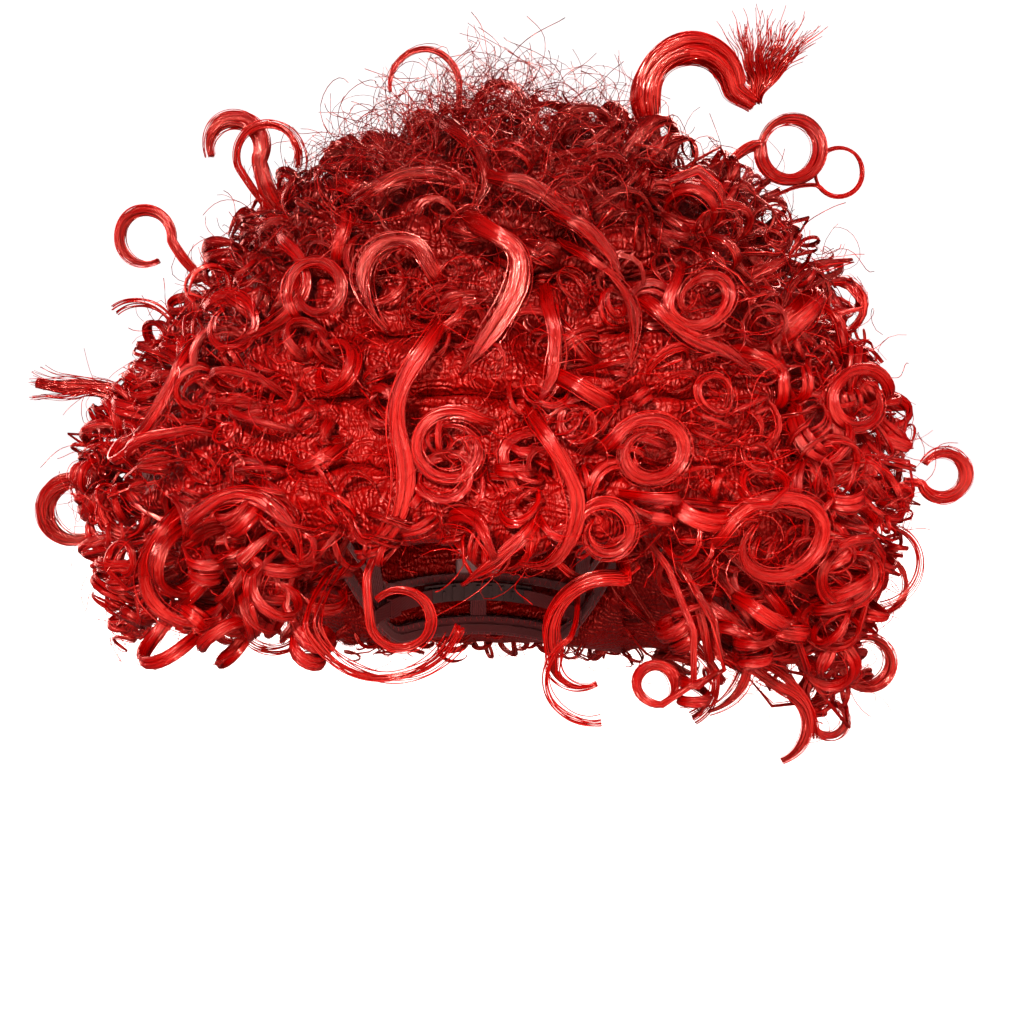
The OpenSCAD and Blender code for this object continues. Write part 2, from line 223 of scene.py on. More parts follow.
class Shader:
    """A material's node tree."""

    def __init__(self, name):
        self.material = bpy.data.materials.new(name)
        self.material.use_nodes = True
        self.nodes, self.links = self.material.node_tree.nodes, self.material.node_tree.links
        self.nodes.clear()

    def node(self, kind, settings=None, inputs=None, out=0):
        """Adds a node, sets its settings, then its inputs by place or by name."""
        made = self.nodes.new(kind)
        for key, value in (settings or {}).items():
            setattr(made, key, value)
        pairs = inputs.items() if isinstance(inputs, dict) else enumerate(inputs or ())
        for key, value in pairs:
            if isinstance(value, Socket):
                self.links.new(value.out, made.inputs[key])
            elif value is not None:
                made.inputs[key].default_value = value
        return Socket(self, made.outputs[out]) if made.outputs else None

    def object_place(self):
        return self.node("ShaderNodeTexCoord", out="Object")

    def lengthways(self):
        """The piece's own map: X is round a strand in turns, Y is along it in metres."""
        return self.node("ShaderNodeUVMap", {"uv_map": "fibre"})

    def stretch(self, vector, by):
        return self.node("ShaderNodeMapping", None, {"Vector": vector, "Scale": by})

    def axis(self, vector, index):
        return self.node("ShaderNodeSeparateXYZ", None, (vector,), out=index)

    def noise(self, vector, scale, detail=2.0, rough=0.5):
        return self.node("ShaderNodeTexNoise", None, {
            "Vector": vector, "Scale": scale, "Detail": detail, "Roughness": rough})

    def blend(self, factor, a, b):
        return self.node("ShaderNodeMix", {"data_type": "RGBA"},
                         {0: factor, 6: a, 7: b}, out=2)

    def bump(self, height, strength, distance, under=None):
        return self.node("ShaderNodeBump", None, {
            "Strength": strength, "Distance": distance, "Height": height, "Normal": under})

    def finish(self, **inputs):
        """Ends the tree in a Principled surface; underscores in names stand for spaces."""
        named = {key.replace("_", " "): value for key, value in inputs.items()}
        surface = self.node("ShaderNodeBsdfPrincipled", None, named)
        self.node("ShaderNodeOutputMaterial", None, (surface,))
        return self.material


def colour(r, g, b):
    return (r, g, b, 1.0)


# ---------------------------------------------------------------- finishes

def curl_filament(name, deep, bright, rough=0.17, fibres=9.0, relief=0.9 * MM):
    """Glossy red filament: fine fibres along the lock, with painted shade in the gaps between them; the
    tone attribute adds painted shade on top and at the back, and makes some locks deeper at random.
    """
    s = Shader(name)
    place = s.lengthways()
    tone = s.node("ShaderNodeAttribute", {"attribute_name": "tone"}, out="Fac")
    fine = s.noise(s.stretch(place, (fibres * 2.6, 45.0, 1.0)), 1.0, 2.0, 0.6)
    fibre = s.noise(s.stretch(place, (fibres, 18.0, 1.0)), 1.0, 2.0, 0.6)
    broad = s.noise(s.stretch(place, (2.0, 26.0, 1.0)), 1.0, 1.0)
    height = fibre * 0.65 + fine * 0.35
    # Painted shade: darker where the fibre height is low, in the gaps between fibres, and where tone is
    # low, on top and at the back; broad adds random streaks.
    depth = (tone + height * 2.0 + broad * 0.4 - 1.2).clamp()
    return s.finish(
        Base_Color=s.blend(depth, deep, bright),
        Roughness=(rough + (broad - 0.5) * 0.25).clamp(),
        IOR=1.75,
        Specular_IOR_Level=1.0,
        Specular_Tint=colour(1.0, 0.20, 0.16),
        Normal=s.bump(height, 1.0, relief),
    )


def under_hair(name):
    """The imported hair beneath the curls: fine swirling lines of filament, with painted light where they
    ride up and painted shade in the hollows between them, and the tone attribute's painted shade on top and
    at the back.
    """
    s = Shader(name)
    place = s.object_place()

    def swirl(way, scale):
        return s.node("ShaderNodeTexWave", {"bands_direction": way}, {
            "Vector": place, "Scale": scale, "Distortion": 16.0, "Detail": 3.0, "Detail Scale": 0.8})

    wave = s.noise(place, 70.0, 3.0, 0.6)
    lines = swirl("Z", 105.0) * 0.55 + swirl("X", 170.0) * 0.45
    tone = s.node("ShaderNodeAttribute", {"attribute_name": "tone"}, out="Fac")
    # Painted shade: darker in the hollows of the wave and the lines, and darker on top and at the back from
    # the tone attribute.
    depth = (wave * 1.2 + lines * 0.5 + tone - 1.15).clamp()
    return s.finish(
        Base_Color=s.blend(depth, colour(0.06, 0.0, 0.0), colour(0.19, 0.0, 0.0)),
        Roughness=(0.28 + wave * 0.2).clamp(),
        Specular_IOR_Level=0.8,
        Specular_Tint=colour(1.0, 0.20, 0.16),
        Normal=s.bump(lines + wave * 0.5, 1.0, 0.8 * MM),
    )


def knit_net(name):
    """Stretch net: round holes in staggered rows, with the yarn standing up round them."""
    s = Shader(name)
    place = s.lengthways()
    across, along = s.axis(place, 0), s.axis(place, 1)
    rows = (across * (TURN / (1.6 * MM))).sine() * (along * (TURN / (1.6 * MM))).sine()
    yarn = (rows * 0.5 + 0.5).clamp()
    hole = rows.above(0.45)
    shade = s.noise(s.object_place(), 60.0)
    return s.finish(
        Base_Color=s.blend(shade, colour(0.05, 0.002, 0.004), colour(0.13, 0.005, 0.008)),
        Roughness=0.7,
        Sheen_Weight=0.1,
        Alpha=1.0 - hole,
        Normal=s.bump(1.0 - yarn, 0.8, 0.3 * MM),
    )


def woven_band(name, dark, light, pitch=0.7 * MM):
    """Plain weave: warp and weft cross over in a fine check."""
    s = Shader(name)
    place = s.lengthways()
    across, along = s.axis(place, 0), s.axis(place, 1)
    weave = (across * (TURN / pitch)).sine() * (along * (TURN / pitch)).sine()
    slub = s.noise(s.stretch(place, (400.0, 90.0, 1.0)), 1.0, 3.0)
    return s.finish(
        Base_Color=s.blend((weave * 0.35 + slub * 0.8).clamp(), dark, light),
        Roughness=(0.62 + slub * 0.2).clamp(),
        Sheen_Weight=0.35,
        Normal=s.bump(weave + slub, 0.7, 0.25 * MM),
    )


def ribbed_elastic(name, dark, light, pitch=1.1 * MM):
    """Elastic: raised ribs along its length, broken by fine cross stitches."""
    s = Shader(name)
    place = s.lengthways()
    across, along = s.axis(place, 0), s.axis(place, 1)
    rib = ((across * (TURN / pitch)).sine() * 0.5 + 0.5) ** 0.6
    cross = (along * (TURN / (0.6 * MM))).sine() * 0.5 + 0.5
    wear = s.noise(s.object_place(), 120.0, 3.0)
    return s.finish(
        Base_Color=s.blend((rib * 0.6 + wear * 0.4).clamp(), dark, light),
        Roughness=(0.55 + wear * 0.25).clamp(),
        Sheen_Weight=0.2,
        Normal=s.bump(rib + cross * 0.3, 0.8, 0.3 * MM),
    )


def polished_thread(name, dark, light):
    """Twisted sewing thread: slanting plies."""
    s = Shader(name)
    place = s.lengthways()
    plies = (s.axis(place, 0) * TURN * 2 + s.axis(place, 1) * (TURN / (1.2 * MM))).sine()
    return s.finish(
        Base_Color=s.blend((plies * 0.5 + 0.5).clamp(), dark, light),
        Roughness=0.5,
        Normal=s.bump(plies, 0.6, 0.1 * MM),
    )


def moulded_plastic(name):
    """Black hook plastic with faint moulding marks."""
    s = Shader(name)
    marks = s.noise(s.object_place(), 700.0, 3.0)
    haze = s.noise(s.object_place(), 180.0)
    return s.finish(
        Base_Color=s.blend(haze, colour(0.012, 0.010, 0.010), colour(0.03, 0.026, 0.026)),
        Roughness=(0.22 + marks * 0.22).clamp(),
        Normal=s.bump(marks, 0.25, 0.1 * MM),
    )


def label_satin(name):
    """Blank satin label: a long-float weave with a faint crease."""
    s = Shader(name)
    place = s.object_place()
    float_yarn = s.noise(s.stretch(place, (4000.0, 600.0, 600.0)), 1.0, 2.0)
    crease = s.noise(place, 70.0)
    return s.finish(
        Base_Color=s.blend((float_yarn * 0.6 + crease * 0.4).clamp(),
                           colour(0.035, 0.020, 0.020), colour(0.09, 0.055, 0.055)),
        Roughness=(0.32 + crease * 0.2).clamp(),
        Normal=s.bump(float_yarn + crease, 0.4, 0.2 * MM),
    )


def pale_floor(name):
    s = Shader(name)
    cloud = s.noise(s.object_place(), 3.0)
    seen = s.node("ShaderNodeBsdfPrincipled", None, {
        "Base Color": s.blend(cloud, colour(0.86, 0.86, 0.86), colour(0.90, 0.90, 0.90)),
        "Roughness": 0.9,
        "Specular IOR Level": 0.1,
        "Emission Color": colour(1.0, 1.0, 1.0),
        "Emission Strength": 0.80,
    })
    lit = s.node("ShaderNodeBsdfDiffuse", None, {"Color": colour(0.10, 0.06, 0.06)})
    to_camera = s.node("ShaderNodeLightPath", out="Is Camera Ray")
    both = s.node("ShaderNodeMixShader", None, (to_camera, lit, seen))
    s.node("ShaderNodeOutputMaterial", None, (both,))
    return s.material


# ---------------------------------------------------------------- meshes from arrays

def make_mesh(name, points, faces, fibre, tone, material, smooth=True):
    """points (P, 3), faces a list of (F, n) index arrays, fibre (P, 2) and tone (P,) per point."""
    mesh = bpy.data.meshes.new(name)
    loops = np.concatenate([f.ravel() for f in faces]).astype(np.int32)
    sizes = np.concatenate([np.full(len(f), f.shape[1]) for f in faces]).astype(np.int32)
    mesh.vertices.add(len(points))
    mesh.vertices.foreach_set("co", points.astype(np.float32).ravel())
    mesh.loops.add(len(loops))
    mesh.loops.foreach_set("vertex_index", loops)
    mesh.polygons.add(len(sizes))
    mesh.polygons.foreach_set("loop_start", (np.cumsum(sizes) - sizes).astype(np.int32))
    mesh.polygons.foreach_set("use_smooth", np.full(len(sizes), smooth))
    uv = mesh.uv_layers.new(name="fibre")
    uv.data.foreach_set("uv", fibre[loops].astype(np.float32).ravel())
    # The tone attribute carries random tone and the painted shade of the hair, darker on top and at the
    # back.
    shade = mesh.attributes.new("tone", "FLOAT", "POINT")
    shade.data.foreach_set("value", tone.astype(np.float32))
    mesh.update()
    mesh.validate()
    mesh.materials.append(material)
    piece = bpy.data.objects.new(name, mesh)
    bpy.context.scene.collection.objects.link(piece)
    return piece


def wall_faces(rings, sides, count=1, ring_closed=False):
    """Quads of count tubes of rings x sides points, and their end caps as one face each."""
    tube = np.arange(count)[:, None, None] * rings * sides
    steps = rings if ring_closed else rings - 1
    i, j = np.arange(steps)[None, :, None], np.arange(sides)[None, None, :]
    a, b = (i % rings) * sides, ((i + 1) % rings) * sides
    k = (j + 1) % sides
    quads = np.stack(np.broadcast_arrays(tube + a + j, tube + a + k, tube + b + k, tube + b + j), -1)
    faces = [quads.reshape(-1, 4)]
    if not ring_closed:
        starts = np.arange(count)[:, None] * rings * sides
        faces.append(starts + np.arange(sides)[::-1])
        faces.append(starts + (rings - 1) * sides + np.arange(sides))
    return faces


def swept(paths, width_way, width, depth, sides):
    """Carries an ellipse along each path (N, M, 3). width_way (N, M, 3) is the side that the width
    lies on; width and depth (N, M) are half sizes."""
    along = unit(np.gradient(paths, axis=1))
    side = unit(width_way - (width_way * along).sum(-1, keepdims=True) * along)
    up = np.cross(along, side)
    a = np.arange(sides) / sides * TURN
    x = width[..., None] * np.cos(a)
    y = depth[..., None] * np.sin(a)
    return paths[:, :, None] + x[..., None] * side[:, :, None] + y[..., None] * up[:, :, None]


def lengths_along(paths):
    """Distance from the start of each path, (N, M)."""
    step = np.linalg.norm(np.diff(paths, axis=1), axis=-1)
    return np.concatenate([np.zeros((len(paths), 1)), np.cumsum(step, 1)], 1)


def tube_piece(name, paths, width_way, width, depth, sides, tone, material, offset=None):
    """One piece made of many closed tubes. The map runs once round each tube and along it in metres."""
    n, m = paths.shape[:2]
    points = swept(paths, width_way, width, depth, sides)
    run = lengths_along(paths)
    offset = np.zeros((n, 2)) if offset is None else offset
    u = np.abs(np.arange(sides) / sides * 2 - 1)[None, None] + offset[:, 0, None, None]
    v = (run + offset[:, 1, None])[:, :, None]
    fibre = np.stack(np.broadcast_arrays(u, v), -1)
    tones_with_painted_shade = np.broadcast_to(tone[:, :, None] if tone.ndim == 2 else tone[:, None, None], (n, m, sides))
    return make_mesh(name, points.reshape(-1, 3), wall_faces(m, sides, n), fibre.reshape(-1, 2),
                     tones_with_painted_shade.ravel(), material)


def cloth_piece(name, phi, low, high, off, thick, rows, material, closed=False):
    """Cloth on the cap between two rises: its section goes up the outside and down the inside.
    The map is in metres, across the cloth and round the cap."""
    t = np.linspace(0, 1, rows)
    ways = np.concatenate([t, t[::-1]])
    offs = np.concatenate([np.full(rows, off + thick), np.full(rows, off)])
    rise = mix(low[:, None], high[:, None], ways)
    points = cap_point(phi[:, None], rise, offs)
    around = lengths_along(points[None, :, 0])[0]
    up = np.abs(rise - low[:, None]) * CROWN_H
    fibre = np.stack([up, np.broadcast_to(around[:, None], up.shape)], -1)
    faces = wall_faces(len(phi), 2 * rows, 1, closed)
    if not closed:
        faces = faces[:1] + [strip_end(rows, 0, True), strip_end(rows, (len(phi) - 1) * 2 * rows, False)]
    count = points.shape[0] * points.shape[1]
    return make_mesh(name, points.reshape(-1, 3), faces, fibre.reshape(-1, 2), np.full(count, 0.5),
                     material)


def strip_end(rows, start, back):
    """The end of a strip, as quads that join each outside point to the inside point behind it."""
    j = np.arange(rows - 1)
    quad = np.stack([j, j + 1, 2 * rows - 2 - j, 2 * rows - 1 - j], -1) + start
    return quad[:, ::-1] if back else quad


# ---------------------------------------------------------------- the cap

CAP_MEAN = (CAP_HALF[0] + CAP_HALF[1] + CROWN_H) / 3


def stitches(name, places, across, along, material, length=1.5 * MM, thick=0.35 * MM, lift=0.2 * MM):
    """A row of short slanted thread stitches at the given places; each is an arched closed tube."""
    t = np.linspace(-1, 1, 4)
    out = unit(np.cross(along, across))
    slant = unit(across + 0.35 * along * np.where(np.arange(len(places)) % 2, 1, -1)[:, None])
    paths = (places[:, None] + slant[:, None] * (t * length)[None, :, None]
             + out[:, None] * (lift + thick * (1 - t**2))[None, :, None])
    half = np.full(paths.shape[:2], thick / 2)
    way = np.broadcast_to(out[:, None], paths.shape)
    piece = tube_piece(name, paths, way, half, half, 3, np.full(len(places), 0.5), material)
    stand_for(piece, None)


def stand_for(piece, nodes, body="wig"):
    """The piece rides on a body and stands for the CAD nodes named."""
    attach(piece, body)
    if nodes:
        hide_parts(nodes)


def area_of(piece):
    """Half of a closed thin piece's surface: the area of its cloth."""
    return sum(p.area for p in piece.data.polygons) / 2


def cap_sheet(piece, node, length, width=None, body="wig"):
    """A cloth of the cap rides on its body and stands for its CAD node. It is worn a tenth larger in area
    than it was cut;
    the cut area, and for a strip with no width given its area over its length, are worked out but not kept."""
    stand_for(piece, node, body)
    cut = area_of(piece) / 1.1
    if width is None:
        cut / length
    else:
        min(cut, length * width)


def make_cap(finish):
    """Net dome, crown patch, edge bands, ear tabs, ribbons and nape elastic."""
    round_cap = np.linspace(0, TURN, 200, endpoint=False)
    net = cloth_piece("crown_net_cloth", round_cap, share_rise(round_cap, NET_LOW),
                      share_rise(round_cap, NET_HIGH), 0.0, CLOTH, 30, finish["net"], closed=True)
    cap_sheet(net, "crown_net", 0.40, 0.085)
    make_crown_patch(finish["band"])
    gap = math.radians(0.6)
    bands = {
        "front_band": (-FRONT_END, FRONT_END, "band"),
        "left_ear_band": (FRONT_END + gap, EAR_END, "band"),
        "right_ear_band": (-EAR_END, -FRONT_END - gap, "band"),
        "nape_band": (EAR_END + gap, TURN - EAR_END - gap, "elastic"),
    }
    for node, (start, end, kind) in bands.items():
        phi = np.linspace(start, end, int((end - start) * 70))
        low = edge_rise(phi)
        band = cloth_piece(node + "_cloth", phi, low, low + BAND_W / CAP_MEAN, 0.0, CLOTH, 10, finish[kind])
        length = lengths_along(cap_point(phi, low + BAND_W / 2 / CAP_MEAN, 0.0)[None])[0, -1]
        if kind == "band":
            cap_sheet(band, node, length / 1.05)
        else:
            stand_for(band, node)
        for edge, at in (("lower", 0.12), ("upper", 0.88)):
            seam_along(f"{node}_{edge}_seam", phi, low + at * BAND_W / CAP_MEAN, CLOTH, finish["thread"])
            seam_along(f"{node}_{edge}_inner_seam", phi, low + at * BAND_W / CAP_MEAN, 0.0,
                       finish["thread"], inside=True)
    for side, middle in (("left", EAR_FROM), ("right", -EAR_FROM)):
        make_ear_tab(side, middle, finish)
    for node, azimuth in RIBBON_AZIMUTHS.items():
        make_ribbon(node, math.radians(azimuth), finish)
    phi = np.linspace(math.radians(128), math.radians(232), 120)
    low = edge_rise(phi)
    gather = cloth_piece("nape_elastic_tape", phi, low + 2 * MM / CAP_MEAN, low + 9 * MM / CAP_MEAN,
                         -1.3 * MM, 0.8 * MM, 8, finish["elastic"])
    stand_for(gather, "nape_elastic")


def make_crown_patch(material):
    """A dome patch: rings from its edge to the pole, outside and then inside."""
    phi = np.linspace(0, TURN, 72, endpoint=False)
    shares = np.array([0.9995, 0.99, 0.975, 0.96, NET_HIGH + 0.008])
    outside = [cap_point(phi, share_rise(phi, s), CLOTH) for s in shares]
    inside = [cap_point(phi, share_rise(phi, s), 0.0) for s in shares[::-1]]
    points = np.stack(outside + inside)[:, ::-1]
    faces = wall_faces(len(points), len(phi))
    fibre = points.reshape(-1, 3)[:, :2]
    patch = make_mesh("crown_patch", points.reshape(-1, 3), faces, fibre,
                      np.full(points.shape[0] * points.shape[1], 0.5), material)
    cap_sheet(patch, "crown_closure", 0.024, 0.020)


def seam_along(name, phi, rise, off, thread, inside=False):
    """Stitches along a line on the cap, every 3 mm, on its outer or its inner face."""
    line = cap_point(phi, rise, off)
    run = lengths_along(line[None])[0]
    at = np.arange(1.5 * MM, run[-1], 3.0 * MM)
    spots = np.stack([np.interp(at, run, line[:, i]) for i in range(3)], -1)
    phi_at, rise_at = np.interp(at, run, phi), np.interp(at, run, rise)
    along = unit(cap_point(phi_at + 0.01, rise_at, off) - cap_point(phi_at - 0.01, rise_at, off))
    up = unit(cap_point(phi_at, rise_at + 0.01, off) - cap_point(phi_at, rise_at - 0.01, off))
    return stitches(name, spots, up, -along if inside else along, thread, 1.1 * MM, 0.3 * MM, 0.05 * MM)


def make_ear_tab(side, middle, finish):
    """A rounded flap: its depth follows a circle, and its rim is bound with a rolled edge."""
    phi = middle + np.linspace(-TAB_HALF, TAB_HALF, 36)
    inset = 0.8 * MM
    depth = inset + 1 * MM + (TAB_LEN - 1 * MM) * np.sqrt(1 - ((phi - middle) / (TAB_HALF * 1.02)) ** 2)
    top = edge_rise(phi) - inset / CAP_MEAN
    bottom = edge_rise(phi) - depth / CAP_MEAN
    tab = cloth_piece(f"{side}_ear_tab_cloth", phi, bottom, top, 0.0, CLOTH, 14, finish["band"])
    body = f"{side}_ear_tab"
    cap_sheet(tab, body, 2 * TAB_HALF * CAP_MEAN, TAB_LEN, body=body)
    rim = cap_point(phi, bottom + 0.6 * MM / CAP_MEAN, CLOTH / 2)[None]
    half = np.full(rim.shape[:2], 0.9 * MM)
    way = np.broadcast_to(UP, rim.shape)
    binding = tube_piece(f"{side}_ear_tab_binding", rim, way, half, half * 0.6, 10, np.array([0.5]),
                         finish["elastic"])
    stand_for(binding, None, body)


def make_ribbon(node, azimuth, finish):
    """An elastic ribbon up the cap: a flat section carried along a meridian."""
    share = np.linspace(0.01, NET_LOW + 0.06, 60)
    rise = share_rise(azimuth, share)
    middle = cap_point(azimuth, rise, RIBBON_OFF + CLOTH / 2)
    way = np.broadcast_to([math.cos(azimuth), math.sin(azimuth), 0.0], middle.shape)
    n = len(share)
    ribbon = tube_piece(node + "_elastic", middle[None], way[None], np.full((1, n), RIBBON_W / 2),
                        np.full((1, n), CLOTH / 2 * 1.3), 12, np.array([0.5]), finish["elastic"])
    ribbon.data.uv_layers["fibre"].data.foreach_set("uv", ribbon_map(ribbon, azimuth))
    stand_for(ribbon, node)


def ribbon_map(ribbon, azimuth):
    """A ribbon's map in metres: across it, from its middle, and up it."""
    mesh = ribbon.data
    points = np.empty(len(mesh.vertices) * 3, np.float32)
    mesh.vertices.foreach_get("co", points)
    points = points.reshape(-1, 3)
    index = np.empty(len(mesh.loops), np.int32)
    mesh.loops.foreach_get("vertex_index", index)
    across = points @ np.array([math.cos(azimuth), math.sin(azimuth), 0.0])
    return np.stack([across[index], points[index, 2]], -1).astype(np.float32).ravel()


def make_weft_tracks(finish):
    """The sewn tracks: a folded band with a corded fold and two lines of stitching each."""
    phi = np.linspace(0, TURN, 200, endpoint=False)
    for row in range(1, ROWS + 1):
        rise = share_rise(phi, (row - 0.5) / ROWS)
        half = TRACK_W / 2 / CAP_MEAN
        band = cloth_piece(f"weft_{row:02d}_band", phi, rise - half, rise + half, TRACK_OFF, TRACK_T, 4,
                           finish["weft"], closed=True)
        stand_for(band, f"weft_track_{row:02d}")
        seam = np.append(phi, TURN)
        for face, off, inside in (("outer", TRACK_OFF + TRACK_T, False), ("inner", TRACK_OFF, True)):
            seam_along(f"weft_{row:02d}_{face}_seam", seam, share_rise(seam, (row - 0.5) / ROWS), off,
                       finish["thread"], inside)


def make_label(finish):
    """The blank label: a grid that follows the CAD label's slope and rolls out a little at its foot."""
    low, high = (np.array(c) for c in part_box("care_label"))
    u, v = np.meshgrid(np.linspace(-1, 1, 24), np.linspace(0, 1, 28))
    thick = 0.3 * MM
    sheet_y = mix(high[1] - 0.2 * MM, low[1] + 0.2 * MM, v)
    roll = 0.8 * MM * v**3 * (1 + 0.4 * u) - 0.35 * MM * (1 - u**2)
    face = np.stack([u * (high[0] - low[0]) / 2, sheet_y - roll, mix(high[2], low[2], v)], -1)
    inner, outer = face + [0, thick / 2, 0], face - [0, thick / 2, 0]
    ring = np.concatenate([outer, inner[:, ::-1]], 1)
    points = ring.reshape(-1, 3)
    faces = wall_faces(28, 48, 1)[:1]
    faces += [strip_end(24, 0, True), strip_end(24, 27 * 48, False)]
    label = make_mesh("care_label_satin", points, faces, points[:, [0, 2]], np.full(len(points), 0.5),
                      finish["label"])
    stand_for(label, "care_label", "care_label")


# ---------------------------------------------------------------- hair

HAIR_BANDS = [("fringe", 1)] + [(f"hair_row_{row:02d}", row) for row in range(1, ROWS + 1)]
FRINGE_TO = math.radians(50)
# Room that the moving curls need: spheres, middle and radius in mm.
MOVING_ROOM = [((80, -6, 166), 24), ((44, -112, -8), 21), ((-28, -110, -2), 16), ((187, -4, 20), 13)]


def ripple(points, rng, size, waves=7):
    """Smooth noise from -1 to 1: the mean of sine waves in random directions."""
    ways = unit(rng.normal(size=(waves, 3))) * (TURN / size) * rng.uniform(0.6, 1.5, (waves, 1))
    phase = rng.uniform(0, TURN, waves)
    return np.sin(points @ ways.T + phase).sum(-1) / waves**0.5


def squared(wave):
    """A wave with its crests filled out, which turns a circle into a rounded square."""
    return np.sign(wave) * np.abs(wave) ** 0.55


def under_mass(node, row, finish, rng):
    """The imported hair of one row: a rounded ring between the cap and most of the way out, with its
    surface pushed in and out by curl-sized ripples."""
    start, end, whole = 0, TURN, row > 1
    if node == "fringe":
        start, end = -FRINGE_TO, FRINGE_TO
    elif row == 1:
        start, end = FRINGE_TO, TURN - FRINGE_TO
    n = int(170 * (end - start) / TURN)
    phi = np.linspace(start, end, n, endpoint=not whole)[:, None]
    a = np.linspace(0, TURN, 24, endpoint=False)[None]
    share = np.clip((row - 0.5 + 0.53 * squared(np.cos(a))) / ROWS, 0.002, 0.998)
    along = 0.37 + 0.33 * squared(np.sin(a))
    phi, share, along = np.broadcast_arrays(phi, share, along)
    points = between(phi, share, along)
    out = unit(hair_point(phi, share) - between(phi, share, 0 * along))
    push = ripple(points, rng, 24 * MM) * 5 * MM + np.abs(ripple(points, rng, 11 * MM)) * 2.5 * MM
    points = points + out * (push * np.clip(along * 1.6 - 0.2, 0, 1))[..., None]
    around = np.broadcast_to(phi * 0.12, share.shape)
    fibre = np.stack([around, lengths_along(points)], -1)
    points = points.reshape(-1, 3)
    piece = make_mesh(node + "_under_hair", points, wall_faces(n, 24, 1, whole), fibre.reshape(-1, 2),
                      tones_with_painted_shade(points, np.random.default_rng(3), 0.05), finish["under"])
    stand_for(piece, node)


def bezier(a, b, c, d, t):
    """Cubic Bezier curves (N, M, 3) through control points (N, 3)."""
    t = t[None, :, None]
    a, b, c, d = (p[:, None] for p in (a, b, c, d))
    return a * (1 - t) ** 3 + 3 * b * t * (1 - t) ** 2 + 3 * c * t**2 * (1 - t) + d * t**3


def coil_paths(roots, out, centres, axes, radius, turns, pitch, phase, stem=5, coil=26, tighten=0.35):
    """Each path leaves its root outwards and winds into a helix round its axis. The helix's radius
    shrinks towards the tip by the share tighten. Everything is per lock, (N,) or (N, 3)."""
    e1 = unit(np.cross(axes, UP + 0.013))
    e2 = np.cross(axes, e1)
    t = np.linspace(0, 1, coil)
    angle = phase[:, None] + TURN * turns[:, None] * t
    r = radius[:, None] * (1 - np.asarray(tighten)[..., None] * t)
    rise = (pitch * turns)[:, None] * (t - 0.5)
    helix = (centres[:, None] + (r * np.cos(angle))[..., None] * e1[:, None]
             + (r * np.sin(angle))[..., None] * e2[:, None] + rise[..., None] * axes[:, None])
    first = unit(helix[:, 0] - helix[:, 1])
    span = np.linalg.norm(helix[:, 0] - roots, axis=-1, keepdims=True)
    ramp = np.linspace(0, 1, stem, endpoint=False)
    lead = bezier(roots, roots + out * span * 0.4, helix[:, 0] + first * span * 0.35, helix[:, 0], ramp)
    return np.concatenate([lead, helix], 1)


def lock_profile(m, tip=0.22, root=0.55):
    """Thickness along a lock: it fills out from the root, stays full and tapers to its tip."""
    t = np.linspace(0, 1, m)
    return mix(root, 1, ease(t / 0.3)) * mix(1, tip, ease((t - 0.72) / 0.28))


def tones_with_painted_shade(places, rng, spread=0.14):
    """How bright the hair is, 0 to 1, as random tone with painted shade: brightest low at the front,
    darkest on top and at the back, where less light falls.
    """
    high = ease((places[:, 2] - 40 * MM) / (115 * MM))
    behind = ease((places[:, 1] + 40 * MM) / (150 * MM))
    # Painted shade by height and towards the back; the normal spread is random tone.
    return np.clip(0.90 - 0.80 * high - 0.2 * behind + rng.normal(0, spread, len(places)), 0.0, 1.1)


def companions(paths, ways, width, depth, copies, reach, drift, splay, rng):
    """Copies of each path that run beside it, at a share of its half width and depth from reach (low,
    high). They drift round it and spread towards its tip. Returns whose each is, its path and way."""
    n, m = paths.shape[:2]
    t = np.linspace(0, 1, m)
    whose = np.repeat(np.arange(n), copies)
    count = len(whose)
    base, way = paths[whose], ways[whose]
    along = unit(np.gradient(base, axis=1))
    side = unit(way - (way * along).sum(-1, keepdims=True) * along)
    up = np.cross(along, side)
    even = np.tile(np.arange(copies), n) / copies * TURN + rng.uniform(0, TURN, n)[whose]
    turn = even[:, None] + rng.normal(0, drift, (count, 1)) * t
    spread = rng.uniform(*reach, (count, 1)) * (1 + splay * t**3)
    wobble = 0.3 * MM * np.sin(t * rng.uniform(8, 24, (count, 1)) + turn)
    x = width[whose] * spread * np.cos(turn) + wobble
    y = depth[whose] * spread * np.sin(turn) + wobble * 0.6
    return whose, keep_inside(base + x[..., None] * side + y[..., None] * up), way


